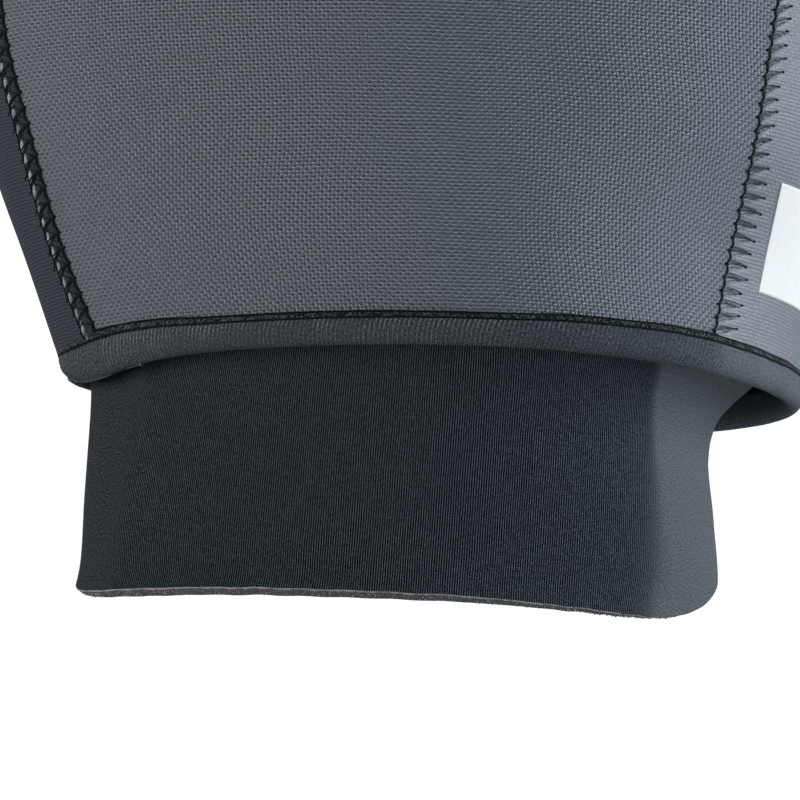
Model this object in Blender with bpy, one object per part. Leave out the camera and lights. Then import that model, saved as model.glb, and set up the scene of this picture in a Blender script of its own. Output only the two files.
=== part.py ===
"""Neoprene handlebar muff: four panels that close over the hand, a bound hem, and an inner cuff for the wrist.

Metres, +Z up. The origin is on the handlebar's axis, which runs along X through the middle of the muff. The wrist
goes in from below. The front panel faces -Y, and the handlebar comes in through the left side panel, at -X.
"""

import math
from typing import NamedTuple

import bmesh
import bpy
from mathutils import Vector

MUFF = "handlebar_muff"

# Cloth and clearances
WALL = 0.003
GAP = 0.0003

# Outer shell
BAR_ABOVE_HEM = 0.190
HAND_RISE = 0.205
CROWN_RISE = 0.075
RIDGE_HALF_LENGTH = 0.078
HEM_LEFT = 0.0909
HEM_RIGHT = 0.0918
HEM_FRONT = 0.0615
HEM_BACK = 0.0605
BODY_LEFT = 0.131
BODY_RIGHT = 0.112
BODY_FRONT = 0.072
BODY_BACK = 0.068

# Binding tape of the hem and of the handlebar's hole
BINDING_HEIGHT = 0.008
BINDING_THICKNESS = 0.0012
BINDING_FLAT_FROM = 0.20
BINDING_FLAT_TO = 0.65
COLLAR_WIDTH = 0.007
COLLAR_THICKNESS = 0.0011
COLLAR_CLEARANCE = 0.0007
BAR_HOLE_WIDTH = 0.046
BAR_HOLE_HEIGHT = 0.052

# Inner cuff
CUFF_CLEARANCE = 0.0007
CUFF_TOP = 0.021
CUFF_LENGTH = 0.061
CUFF_LEFT = 0.086
CUFF_RIGHT = 0.070
CUFF_FRONT = 0.044
CUFF_BACK = 0.021
CUFF_EDGE_RISE = 0.015

# Label
LABEL_BOTTOM = 0.0222
LABEL_HEIGHT = 0.0267
LABEL_LENGTH = 0.045
LABEL_THICKNESS = 0.0006
LABEL_FROM_SEAM = 0.0135
LABEL_CLEARANCE = 0.0006

# Mesh spans and steps
SPANS = {"left_side_panel": 8, "front_panel": 16, "right_side_panel": 12, "back_panel": 12}
BODY_ROWS = 12
CROWN_ANGLES = (12, 24, 36, 48, 60, 71, 80, 85.5, 90)
HOLE_SPANS = 28
LABEL_SPANS = 14
LABEL_ROWS = 3
LABEL_SEARCH_TURN = math.radians(0.25)
SIDE_SEARCH_HALVINGS = 40
STEP = 1e-4
MOST_GAP_TURN = 0.06
SHARP_ANGLE = math.radians(40)


class ShellRow(NamedTuple):
    """One height of the shell. Heights are shares of HAND_RISE. Each reach is a share of the way from the hem's
    size to the body's. Peak and ends, where the front is deepest and how far back the two sides lie, are shares
    of HEM_LEFT. Rounds are exponents: 1 is an ellipse, less is squarer, more is sharper. Seams are shares of the
    reach on their side."""

    height: float
    left: float
    right: float
    front: float
    back: float
    peak: float
    ends: float
    left_round: float
    right_round: float
    left_seam: float
    right_seam: float


SHELL_ROWS = (
    ShellRow(0.000, 0.00, 0.00, 0.00, 0.00, 0.190, 0.085, 1.55, 1.30, 0.938, 0.690),
    ShellRow(0.137, 0.30, 0.07, 0.39, 0.33, 0.130, 0.065, 1.40, 1.15, 0.926, 0.750),
    ShellRow(0.273, 0.60, 0.20, 0.67, 0.67, 0.075, 0.043, 1.25, 0.70, 0.910, 0.802),
    ShellRow(0.410, 0.81, 0.46, 0.89, 0.83, 0.064, 0.032, 1.20, 0.68, 0.911, 0.798),
    ShellRow(0.585, 0.95, 0.73, 1.00, 1.00, 0.043, 0.020, 1.15, 0.80, 0.892, 0.786),
    ShellRow(0.780, 1.00, 0.95, 0.92, 0.92, 0.020, 0.000, 1.10, 0.90, 0.845, 0.765),
    ShellRow(1.000, 0.96, 0.95, 0.66, 0.60, 0.000, 0.000, 1.05, 1.00, 0.830, 0.760),
)


class CuffRow(NamedTuple):
    """One height of the cuff below the hem. Drop is a share of the way from the hem's plane to the cut edge, left,
    right, front and back are shares of the cuff's named reaches, and ends of CUFF_BACK. Rounds are exponents."""

    drop: float
    left: float
    right: float
    front: float
    back: float
    peak: float
    left_end: float
    right_end: float
    left_round: float
    right_round: float


CUFF_ROWS = (
    CuffRow(0.00, 0.977, 0.986, 1.16, 0.75, 0.14, 0.20, 0.28, 1.75, 1.30),
    CuffRow(0.25, 0.990, 0.988, 1.07, 0.88, 0.10, 0.15, 0.26, 1.65, 1.25),
    CuffRow(0.50, 1.000, 1.006, 0.99, 0.95, 0.07, 0.10, 0.24, 1.55, 1.20),
    CuffRow(0.80, 1.012, 1.030, 0.92, 1.00, 0.04, 0.05, 0.22, 1.50, 1.15),
    CuffRow(1.00, 1.033, 1.016, 0.97, 1.05, 0.02, 0.02, 0.20, 1.50, 1.15),
)


class NeckRow(NamedTuple):
    """How the cuff leaves the shell: height is in shares of CUFF_TOP above the hem's plane, or of CUFF_LENGTH
    below it, and tube is the share of the way from the shell's inner face to the tube."""

    height: float
    tube: float


NECK_ROWS = (
    NeckRow(-0.26, 1.00),
    NeckRow(-0.16, 0.97),
    NeckRow(-0.07, 0.88),
    NeckRow(0.00, 0.72),
    NeckRow(0.25, 0.42),
    NeckRow(0.50, 0.17),
    NeckRow(0.78, 0.03),
    NeckRow(1.00, 0.00),
)
CUFF_ROWS_BELOW_NECK = 6


class EdgeRow(NamedTuple):
    """How far the cuff's cut edge rises round it, as shares of CUFF_EDGE_RISE."""

    degrees: float
    rise: float


EDGE_ROWS = (
    EdgeRow(0, 0.34),
    EdgeRow(12, 0.16),
    EdgeRow(35, 0.07),
    EdgeRow(80, 0.00),
    EdgeRow(138, 0.00),
    EdgeRow(152, 0.09),
    EdgeRow(166, 0.42),
    EdgeRow(180, 0.98),
    EdgeRow(205, 1.05),
    EdgeRow(270, 1.00),
    EdgeRow(335, 0.80),
    EdgeRow(360, 0.34),
)

COLOURS = {
    "embossed_neoprene": (0.085, 0.095, 0.105),
    "jersey_neoprene": (0.022, 0.024, 0.030),
    "ribbed_neoprene": (0.010, 0.012, 0.014),
    "binding_tape": (0.028, 0.030, 0.034),
    "white_label": (0.82, 0.84, 0.86),
}
ROUGHNESS = {"embossed_neoprene": 0.55, "white_label": 0.45}
CLOTH_ROUGHNESS = 0.85


def along(rows, position):
    """Reads every column of a table at a position in its first column, on a smooth curve through its rows."""
    last = len(rows) - 1
    upper = next((index for index in range(1, last) if position <= rows[index][0]), last)
    start, end = rows[upper - 1], rows[upper]
    before, after = rows[max(upper - 2, 0)], rows[min(upper + 1, last)]
    span = end[0] - start[0]
    share = (position - start[0]) / span
    values = [position]
    for column in range(1, len(start)):
        rise = end[column] - start[column]
        slope_in = (end[column] - before[column]) / (end[0] - before[0]) * span
        slope_out = (after[column] - start[column]) / (after[0] - start[0]) * span
        bend = 3 * rise - 2 * slope_in - slope_out
        turn = slope_in + slope_out - 2 * rise
        values.append(start[column] + share * (slope_in + share * (bend + share * turn)))
    return type(start)._make(values)


def mix(low, high, share):
    return low + (high - low) * share


class Outline(NamedTuple):
    """A rounded section in a level plane. Left and right reach out from the peak, where the front is deepest."""

    peak: float
    left: float
    right: float
    front: float
    back: float
    left_end: float
    right_end: float
    left_round: float
    right_round: float

    def point(self, angle, height):
        """The point at an angle: 0 is the left end, a quarter turn the front, then the right end and the back."""
        toward_left, toward_front = math.cos(angle), math.sin(angle)
        reach = self.left if toward_left > 0 else self.right
        ends = mix(self.right_end, self.left_end, (1 + toward_left) / 2)
        depth = (self.front + ends) if toward_front > 0 else (self.back - ends)
        sharpness = self.left_round if toward_left > 0 else self.right_round
        if toward_front < 0:
            sharpness = 1
        away = math.copysign(abs(toward_front) ** sharpness, toward_front) * depth
        return Vector((self.peak - reach * toward_left, ends - away, height))


def shell_outline(level):
    """The shell's outer section, and its height: levels 0 to 1 climb the body, 1 to 2 go over the crown."""
    over = max(level - 1, 0) * math.pi / 2
    row = along(SHELL_ROWS, min(level, 1))
    shrink = math.cos(over)
    width = abs(shrink)
    peak = row.peak * HEM_LEFT * width
    left = mix(HEM_LEFT, BODY_LEFT, row.left)
    right = mix(HEM_RIGHT, BODY_RIGHT, row.right)
    outline = Outline(
        peak=peak,
        left=mix(RIDGE_HALF_LENGTH, left, width) + peak,
        right=mix(RIDGE_HALF_LENGTH, right, width) - peak,
        front=mix(HEM_FRONT, BODY_FRONT, row.front) * shrink,
        back=mix(HEM_BACK, BODY_BACK, row.back) * shrink,
        left_end=row.ends * HEM_LEFT * shrink,
        right_end=row.ends * HEM_LEFT * shrink,
        left_round=row.left_round,
        right_round=row.right_round,
    )
    height = HAND_RISE * min(level, 1) + CROWN_RISE * math.sin(over) - BAR_ABOVE_HEM
    return outline, height


def shell_point(angle, level):
    outline, height = shell_outline(level)
    return outline.point(angle, height)


def shell_tangents(angle, level):
    around = shell_point(angle + STEP, level) - shell_point(angle - STEP, level)
    upward = shell_point(angle, level + STEP) - shell_point(angle, level - STEP)
    return around / (2 * STEP), upward / (2 * STEP)


def off_shell(angle, level, outward):
    """The point at a distance outward from the shell's outer face, or inside it where the distance is negative."""
    around, upward = shell_tangents(angle, level)
    return shell_point(angle, level) + around.cross(upward).normalized() * outward


def seam_angles(level):
    """The angles of the front's left and right seams. The seams run out to the ridge's two ends over the crown."""
    row = along(SHELL_ROWS, min(level, 1))
    narrowing = abs(math.cos(max(level - 1, 0) * math.pi / 2))
    left_share = 1 - (1 - row.left_seam) * narrowing
    right_share = 1 - (1 - row.right_seam) * narrowing
    return math.acos(left_share), math.pi - math.acos(right_share)


def panel_ends(name, level):
    left_seam, right_seam = seam_angles(level)
    return {
        "left_side_panel": (-left_seam, left_seam),
        "front_panel": (left_seam, right_seam),
        "right_side_panel": (right_seam, 2 * math.pi - right_seam),
        "back_panel": (2 * math.pi - right_seam, 2 * math.pi - left_seam),
    }[name]


def station_angle(index, level):
    """The angle of one of the shell's columns at a level, so that what follows the shell has its facets too."""
    for name, spans in SPANS.items():
        if index < spans:
            start, end = panel_ends(name, level)
            return mix(start, end, index / spans)
        index -= spans
    raise ValueError("no such column")


def hem_level(above_hem):
    return above_hem / HAND_RISE


def skin(columns, closed):
    """One solid from columns of paired outer and inner points: two faces, their rims, and ends unless it closes."""
    mesh = bmesh.new()
    grid = [[(mesh.verts.new(outer), mesh.verts.new(inner)) for outer, inner in column] for column in columns]
    rows = len(columns[0])
    neighbours = list(zip(grid, grid[1:] + grid[:1] if closed else grid[1:]))
    for here, there in neighbours:
        for row in range(rows - 1):
            for side in (0, 1):
                mesh.faces.new((here[row][side], there[row][side], there[row + 1][side], here[row + 1][side]))
        for row in (0, rows - 1):
            mesh.faces.new((here[row][0], there[row][0], there[row][1], here[row][1]))
    for column in () if closed else (grid[0], grid[-1]):
        for row in range(rows - 1):
            mesh.faces.new((column[row][0], column[row + 1][0], column[row + 1][1], column[row][1]))
    bmesh.ops.recalc_face_normals(mesh, faces=mesh.faces)
    return mesh


def cloth(name):
    """The material of a kind of cloth, made once and shared by the pieces cut from it."""
    material = bpy.data.materials.get(name)
    if material is None:
        material = bpy.data.materials.new(name)
        material.use_nodes = True
        shader = material.node_tree.nodes["Principled BSDF"]
        shader.inputs["Base Color"].default_value = (*COLOURS[name], 1)
        shader.inputs["Roughness"].default_value = ROUGHNESS.get(name, CLOTH_ROUGHNESS)
        shader.inputs["Metallic"].default_value = 0
    return material


def add_piece(name, mesh, cloth_name, collection):
    data = bpy.data.meshes.new(name)
    mesh.to_mesh(data)
    mesh.free()
    data.shade_smooth()
    data.set_sharp_from_angle(angle=SHARP_ANGLE)
    data.materials.append(cloth(cloth_name))
    piece = bpy.data.objects.new(name, data)
    collection.objects.link(piece)
    return piece


def shell_levels():
    """The levels of the panels' rows, from just over the binding's fold to the ridge."""
    lowest = hem_level(BINDING_THICKNESS + GAP)
    body = [mix(lowest, 1, row / BODY_ROWS) for row in range(BODY_ROWS + 1)]
    return body + [1 + degrees / 90 for degrees in CROWN_ANGLES]


def half_gap_angle(angle, level):
    """The turn that moves a point half a gap round the shell. At the ridge's ends a turn moves nothing, so it has
    a limit there."""
    return min(GAP / 2 / max(shell_tangents(angle, level)[0].length, STEP), MOST_GAP_TURN)


def panel_mesh(name):
    """A panel from seam to seam, half a gap short of each. The side panels end in a point below the ridge."""
    levels = shell_levels()
    on_side = name.endswith("side_panel")
    if on_side:
        levels = levels[:-1]
    columns = []
    for index in range(SPANS[name] + 1):
        share = index / SPANS[name]
        column = []
        for level in levels:
            start, end = panel_ends(name, level)
            angle = mix(start + half_gap_angle(start, level), end - half_gap_angle(end, level), share)
            pair = [off_shell(angle, level, outward) for outward in (0, -WALL)]
            for point in pair:
                if name == "front_panel":
                    point.y = min(point.y, -GAP / 2)
                if name == "back_panel":
                    point.y = max(point.y, GAP / 2)
            column.append(pair)
        columns.append(column)
    return skin(columns, closed=False)


def binding_profile():
    """The hem tape's folded section, from its outer edge under the panel to its inner edge: pairs of outward
    distance and height above the hem's plane, on its outer face and on the face that grips the panel."""
    outer_grip, inner_grip = GAP, -WALL - GAP
    outer_leg, inner_leg = outer_grip + BINDING_THICKNESS, inner_grip - BINDING_THICKNESS
    middle = (outer_leg + inner_leg) / 2
    low, high = BINDING_THICKNESS, BINDING_HEIGHT
    round_low = mix(low, high, BINDING_FLAT_FROM)
    round_high = mix(low, high, BINDING_FLAT_TO)
    fold = BINDING_THICKNESS / 2
    return (
        ((outer_leg - fold, high), (outer_grip, high)),
        ((outer_leg, round_high), (outer_grip, round_high)),
        ((outer_leg, round_low), (outer_grip, round_low)),
        ((outer_leg - fold, fold / 2), (outer_grip, low)),
        ((middle, 0), (middle, low)),
        ((inner_leg + fold, fold / 2), (inner_grip, low)),
        ((inner_leg, round_low), (inner_grip, round_low)),
        ((inner_leg, round_high), (inner_grip, round_high)),
        ((inner_leg + fold, high), (inner_grip, high)),
    )


def binding_mesh():
    columns = []
    for index in range(sum(SPANS.values())):
        column = []
        for pair in binding_profile():
            levels = [hem_level(height) for _, height in pair]
            column.append(
                [off_shell(station_angle(index, level), level, pair[side][0]) for side, level in enumerate(levels)]
            )
        columns.append(column)
    return skin(columns, closed=True)


def tube_outline(drop):
    row = along(CUFF_ROWS, drop)
    peak = row.peak * CUFF_LEFT
    return Outline(
        peak=peak,
        left=row.left * CUFF_LEFT + peak,
        right=row.right * CUFF_RIGHT - peak,
        front=row.front * CUFF_FRONT,
        back=row.back * CUFF_BACK,
        left_end=row.left_end * CUFF_BACK,
        right_end=row.right_end * CUFF_BACK,
        left_round=row.left_round,
        right_round=row.right_round,
    )


def cuff_point(index, above_hem):
    """A point of the cuff's outer face. Its neck leaves the shell's inner face and becomes the flattened tube."""
    length = CUFF_TOP if above_hem > 0 else CUFF_LENGTH
    neck = along(NECK_ROWS, max(above_hem / length, NECK_ROWS[0].height))
    level = hem_level(max(above_hem, 0))
    angle = station_angle(index, level)
    on_shell = off_shell(angle, level, -WALL - CUFF_CLEARANCE)
    drop = max(-above_hem / CUFF_LENGTH, 0)
    in_tube = tube_outline(drop).point(angle, 0)
    point = on_shell.lerp(in_tube, min(max(neck.tube, 0), 1))
    point.z = above_hem - BAR_ABOVE_HEM
    return point


def cuff_heights(index):
    """Heights of the cuff's rows above the hem's plane in one column, down to its cut edge, which rises round it."""
    neck = [row.height * (CUFF_TOP if row.height > 0 else CUFF_LENGTH) for row in reversed(NECK_ROWS)]
    degrees = math.degrees(station_angle(index, 0)) % 360
    edge = CUFF_EDGE_RISE * along(EDGE_ROWS, degrees).rise - CUFF_LENGTH
    return neck + [mix(neck[-1], edge, (row + 1) / CUFF_ROWS_BELOW_NECK) for row in range(CUFF_ROWS_BELOW_NECK)]


def cuff_mesh():
    """The cuff's wall, with its inner face set in from its outer one along the cloth's own normals."""
    count = sum(SPANS.values())
    outer = [[cuff_point(index, height) for height in cuff_heights(index)] for index in range(count)]
    rows = len(outer[0])
    columns = []
    for index in range(count):
        column = []
        for row in range(rows):
            around = outer[(index + 1) % count][row] - outer[index - 1][row]
            upward = outer[index][max(row - 1, 0)] - outer[index][min(row + 1, rows - 1)]
            inward = upward.cross(around).normalized()
            column.append((outer[index][row], outer[index][row] + inward * WALL))
        columns.append(column)
    return skin(columns, closed=True)


def side_angle(target_y, level):
    """The angle at which the left side panel has a given Y, found by halving."""
    low, high = -math.pi / 2, math.pi / 2
    for _ in range(SIDE_SEARCH_HALVINGS):
        middle = (low + high) / 2
        if shell_point(middle, level).y > target_y:
            low = middle
        else:
            high = middle
    return low


def off_side(turn, beyond, outward):
    """A point round the handlebar's hole: a distance beyond its edge, and a distance outward from the panel."""
    across = (BAR_HOLE_WIDTH / 2 + beyond) * math.cos(turn)
    up = (BAR_HOLE_HEIGHT / 2 + beyond) * math.sin(turn)
    level = (up + BAR_ABOVE_HEM) / HAND_RISE
    if level > 1:
        level = 1 + math.asin((up + BAR_ABOVE_HEM - HAND_RISE) / CROWN_RISE) / (math.pi / 2)
    return off_shell(side_angle(across, level), level, outward)


def collar_mesh():
    """The tape folded over the edge of the handlebar's hole."""
    outer_grip, inner_grip = COLLAR_CLEARANCE, -WALL - COLLAR_CLEARANCE
    outer_leg, inner_leg = outer_grip + COLLAR_THICKNESS, inner_grip - COLLAR_THICKNESS
    fold_grip = -COLLAR_CLEARANCE
    profile = (
        ((outer_leg, COLLAR_WIDTH), (outer_grip, COLLAR_WIDTH)),
        ((outer_leg, COLLAR_WIDTH / 2), (outer_grip, COLLAR_WIDTH / 2)),
        ((outer_leg, 0), (outer_grip, fold_grip)),
        ((-WALL / 2, fold_grip - COLLAR_THICKNESS), (-WALL / 2, fold_grip)),
        ((inner_leg, 0), (inner_grip, fold_grip)),
        ((inner_leg, COLLAR_WIDTH / 2), (inner_grip, COLLAR_WIDTH / 2)),
        ((inner_leg, COLLAR_WIDTH), (inner_grip, COLLAR_WIDTH)),
    )
    columns = []
    for index in range(HOLE_SPANS):
        turn = 2 * math.pi * index / HOLE_SPANS
        columns.append([[off_side(turn, beyond, outward) for outward, beyond in pair] for pair in profile])
    return skin(columns, closed=True)


def cut_bar_hole(panel, cutters):
    """Cuts the handlebar's oval hole through the left side panel, with a round cutter one metre across that is
    scaled to the hole's width and height."""
    mesh = bmesh.new()
    bmesh.ops.create_cone(mesh, cap_ends=True, segments=HOLE_SPANS, radius1=0.5, radius2=0.5, depth=BODY_LEFT)
    data = bpy.data.meshes.new("bar_hole_cutter")
    mesh.to_mesh(data)
    mesh.free()
    cutter = bpy.data.objects.new("bar_hole_cutter", data)
    cutter.scale = (BAR_HOLE_HEIGHT, BAR_HOLE_WIDTH, 1)
    cutter.rotation_euler = (0, math.pi / 2, 0)
    cutter.location = (-BODY_LEFT, 0, 0)
    cutter.hide_render = True
    cutter.display_type = "WIRE"
    cutters.objects.link(cutter)
    cut = panel.modifiers.new("bar hole", "BOOLEAN")
    cut.operation = "DIFFERENCE"
    cut.solver = "EXACT"
    cut.object = cutter


def label_mesh():
    """The blank patch on the right side panel, laid round it from a little behind the front seam."""
    middle_level = hem_level(LABEL_BOTTOM + LABEL_HEIGHT / 2)
    start = seam_angles(middle_level)[1]
    marks = [LABEL_FROM_SEAM + LABEL_LENGTH * index / LABEL_SPANS for index in range(LABEL_SPANS + 1)]
    turns = []
    turn, distance, previous = 0, 0, shell_point(start, middle_level)
    while len(turns) < len(marks):
        turn += LABEL_SEARCH_TURN
        point = shell_point(start + turn, middle_level)
        distance += (point - previous).length
        previous = point
        if distance >= marks[len(turns)]:
            turns.append(turn)
    columns = []
    for turn in turns:
        column = []
        for row in range(LABEL_ROWS + 1):
            level = hem_level(LABEL_BOTTOM + LABEL_HEIGHT * row / LABEL_ROWS)
            angle = seam_angles(level)[1] + turn
            outer = off_shell(angle, level, LABEL_CLEARANCE + LABEL_THICKNESS)
            column.append((outer, off_shell(angle, level, LABEL_CLEARANCE)))
        columns.append(column)
    return skin(columns, closed=False)


def main():
    for leftover in list(bpy.data.objects):
        bpy.data.objects.remove(leftover, do_unlink=True)
    muff = bpy.data.collections.new(MUFF)
    cutters = bpy.data.collections.new("cutters")
    for collection in (muff, cutters):
        bpy.context.scene.collection.children.link(collection)
    for name in SPANS:
        cloth_name = "jersey_neoprene" if name == "left_side_panel" else "embossed_neoprene"
        panel = add_piece(name, panel_mesh(name), cloth_name, muff)
        if name == "left_side_panel":
            cut_bar_hole(panel, cutters)
    add_piece("hem_binding", binding_mesh(), "binding_tape", muff)
    add_piece("inner_cuff", cuff_mesh(), "ribbed_neoprene", muff)
    add_piece("bar_collar", collar_mesh(), "binding_tape", muff)
    add_piece("label_patch", label_mesh(), "white_label", muff)


main()
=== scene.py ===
"""Handlebar muff: fine cloth surfaces, seams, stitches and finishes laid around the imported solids.

Metres, +Z up. The handlebar's axis runs along X through the origin, the wrist goes in from below, and the
front panel faces -Y. Every cloth carries a UV map named "cloth", in millimetres along its own surface.
"""

import logging
import math
from dataclasses import dataclass, field
from enum import Enum
from functools import cache
from typing import NamedTuple

import bmesh
import bpy
import numpy as np
from bpy.types import Material, NodeSocket, Object
from mathutils import Matrix, Vector


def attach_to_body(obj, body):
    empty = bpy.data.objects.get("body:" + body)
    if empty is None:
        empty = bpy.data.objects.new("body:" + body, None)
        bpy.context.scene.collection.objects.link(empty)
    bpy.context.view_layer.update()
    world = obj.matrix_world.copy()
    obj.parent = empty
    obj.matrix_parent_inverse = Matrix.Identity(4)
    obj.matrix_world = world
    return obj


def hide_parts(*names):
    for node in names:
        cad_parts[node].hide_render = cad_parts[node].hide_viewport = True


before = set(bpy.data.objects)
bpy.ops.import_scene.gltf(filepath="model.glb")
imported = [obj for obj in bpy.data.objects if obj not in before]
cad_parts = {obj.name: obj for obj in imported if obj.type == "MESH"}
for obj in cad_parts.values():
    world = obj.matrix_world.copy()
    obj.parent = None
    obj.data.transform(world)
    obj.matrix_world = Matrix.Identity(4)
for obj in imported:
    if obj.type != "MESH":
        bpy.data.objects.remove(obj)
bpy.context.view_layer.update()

Array = np.ndarray
Table = tuple[tuple[float, ...], ...]
Colour = tuple[float, float, float]
Ends = tuple[float, float]

LOG = logging.getLogger("muff")
MM = 0.001
STEP = 1e-4
WELD = 2e-6
SEAM_REACH = 0.008
LEG_PITCH = 0.00342
TAU = 2 * math.pi
BODY = "root"


def read_table(rows: Table, position: Array) -> Array:
    """Reads a table's columns at positions in its first column, on smooth curves through its rows.

    Args:
        rows: The table, with its first column ascending.
        position: Where to read it, of any shape.

    Returns:
        The values, with the table's other columns along a first axis.
    """
    table = np.array(rows, float)
    last = len(table) - 1
    upper = np.clip(np.searchsorted(table[:, 0], position, side="left"), 1, last)
    start, end = table[upper - 1], table[upper]
    before, after = table[np.maximum(upper - 2, 0)], table[np.minimum(upper + 1, last)]
    span = end[..., :1] - start[..., :1]
    share = (np.asarray(position)[..., None] - start[..., :1]) / span
    rise = end - start
    slope_in = (end - before) / (end[..., :1] - before[..., :1]) * span
    slope_out = (after - start) / (after[..., :1] - start[..., :1]) * span
    bend = 3 * rise - 2 * slope_in - slope_out
    turn = slope_in + slope_out - 2 * rise
    values = start + share * (slope_in + share * (bend + share * turn))
    return np.moveaxis(values[..., 1:], -1, 0)


def mix(low: Array | float, high: Array | float, share: Array | float) -> Array | float:
    """Returns the value at a share of the way from low to high."""
    return low + (high - low) * share


def ease(low: float, high: float, position: Array) -> Array:
    """Returns 0 below low and 1 above high, with a smooth rise between them."""
    share = np.clip((position - low) / (high - low), 0, 1)
    return share * share * (3 - 2 * share)


def unit(vectors: Array) -> Array:
    """Returns vectors of length one, or close to zero where there is no direction."""
    return vectors / np.maximum(np.linalg.norm(vectors, axis=-1, keepdims=True), 1e-12)


def run_of(points: Array, axis: int) -> Array:
    """Returns the distance along a grid's lines from the first point of each."""
    steps = np.linalg.norm(np.diff(points, axis=axis), axis=-1)
    start = np.zeros_like(np.take(steps, [0], axis=axis))
    return np.concatenate((start, np.cumsum(steps, axis=axis)), axis=axis)


def waves(first: Array, second: Array, length: float, seed: int, count: int = 7) -> Array:
    """A soft uneven swell over a surface, between about -1 and 1.

    Args:
        first: One coordinate of each point.
        second: The other coordinate.
        length: The usual distance from crest to crest, in the coordinates' unit.
        seed: Picks the swell.
        count: How many waves add up to it.

    Returns:
        The swell at each point.
    """
    chance = np.random.default_rng(seed)
    total = np.zeros(np.broadcast(first, second).shape)
    for _ in range(count):
        heading = chance.uniform(0, TAU)
        number = TAU / (length * chance.uniform(0.6, 1.5))
        along = first * math.cos(heading) + second * math.sin(heading)
        total += np.sin(number * along + chance.uniform(0, TAU))
    return total / math.sqrt(count * 2)


def leg_lean(along: Array) -> Array:
    """Returns how steeply the legs of a legged seam rise from it, at lengths up the seam."""
    return mix(0.05, 0.42, ease(0.030, 0.055, along)) + 0.18 * ease(0.014, 0.004, along)


def leg_reach(along: Array) -> Array:
    """Returns how much longer than at the crown the legs of a legged seam are, at lengths up the seam."""
    return 1 + 0.5 * ease(0.052, 0.036, along)


class Section(NamedTuple):
    """Rounded level sections. Left and right reach out from the peak, where the front is deepest."""

    peak: Array
    left: Array
    right: Array
    front: Array
    back: Array
    left_end: Array
    right_end: Array
    left_round: Array
    right_round: Array

    def points(self, angle: Array, height: Array) -> Array:
        """The points at angles: 0 is the left end, and a quarter turn on is the front.

        Args:
            angle: The angle of each point.
            height: The height of each point.

        Returns:
            The points, with their coordinates along the last axis.
        """
        toward_left, toward_front = np.cos(angle), np.sin(angle)
        on_left, in_front = toward_left > 0, toward_front > 0
        reach = np.where(on_left, self.left, self.right)
        ends = mix(self.right_end, self.left_end, (1 + toward_left) / 2)
        depth = np.where(in_front, self.front + ends, self.back - ends)
        rounding = np.where(in_front, np.where(on_left, self.left_round, self.right_round), 1.0)
        away = np.sign(toward_front) * np.abs(toward_front) ** rounding * depth
        level = np.broadcast_to(height, away.shape)
        return np.stack((self.peak - reach * toward_left, ends - away, level), axis=-1)


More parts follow.
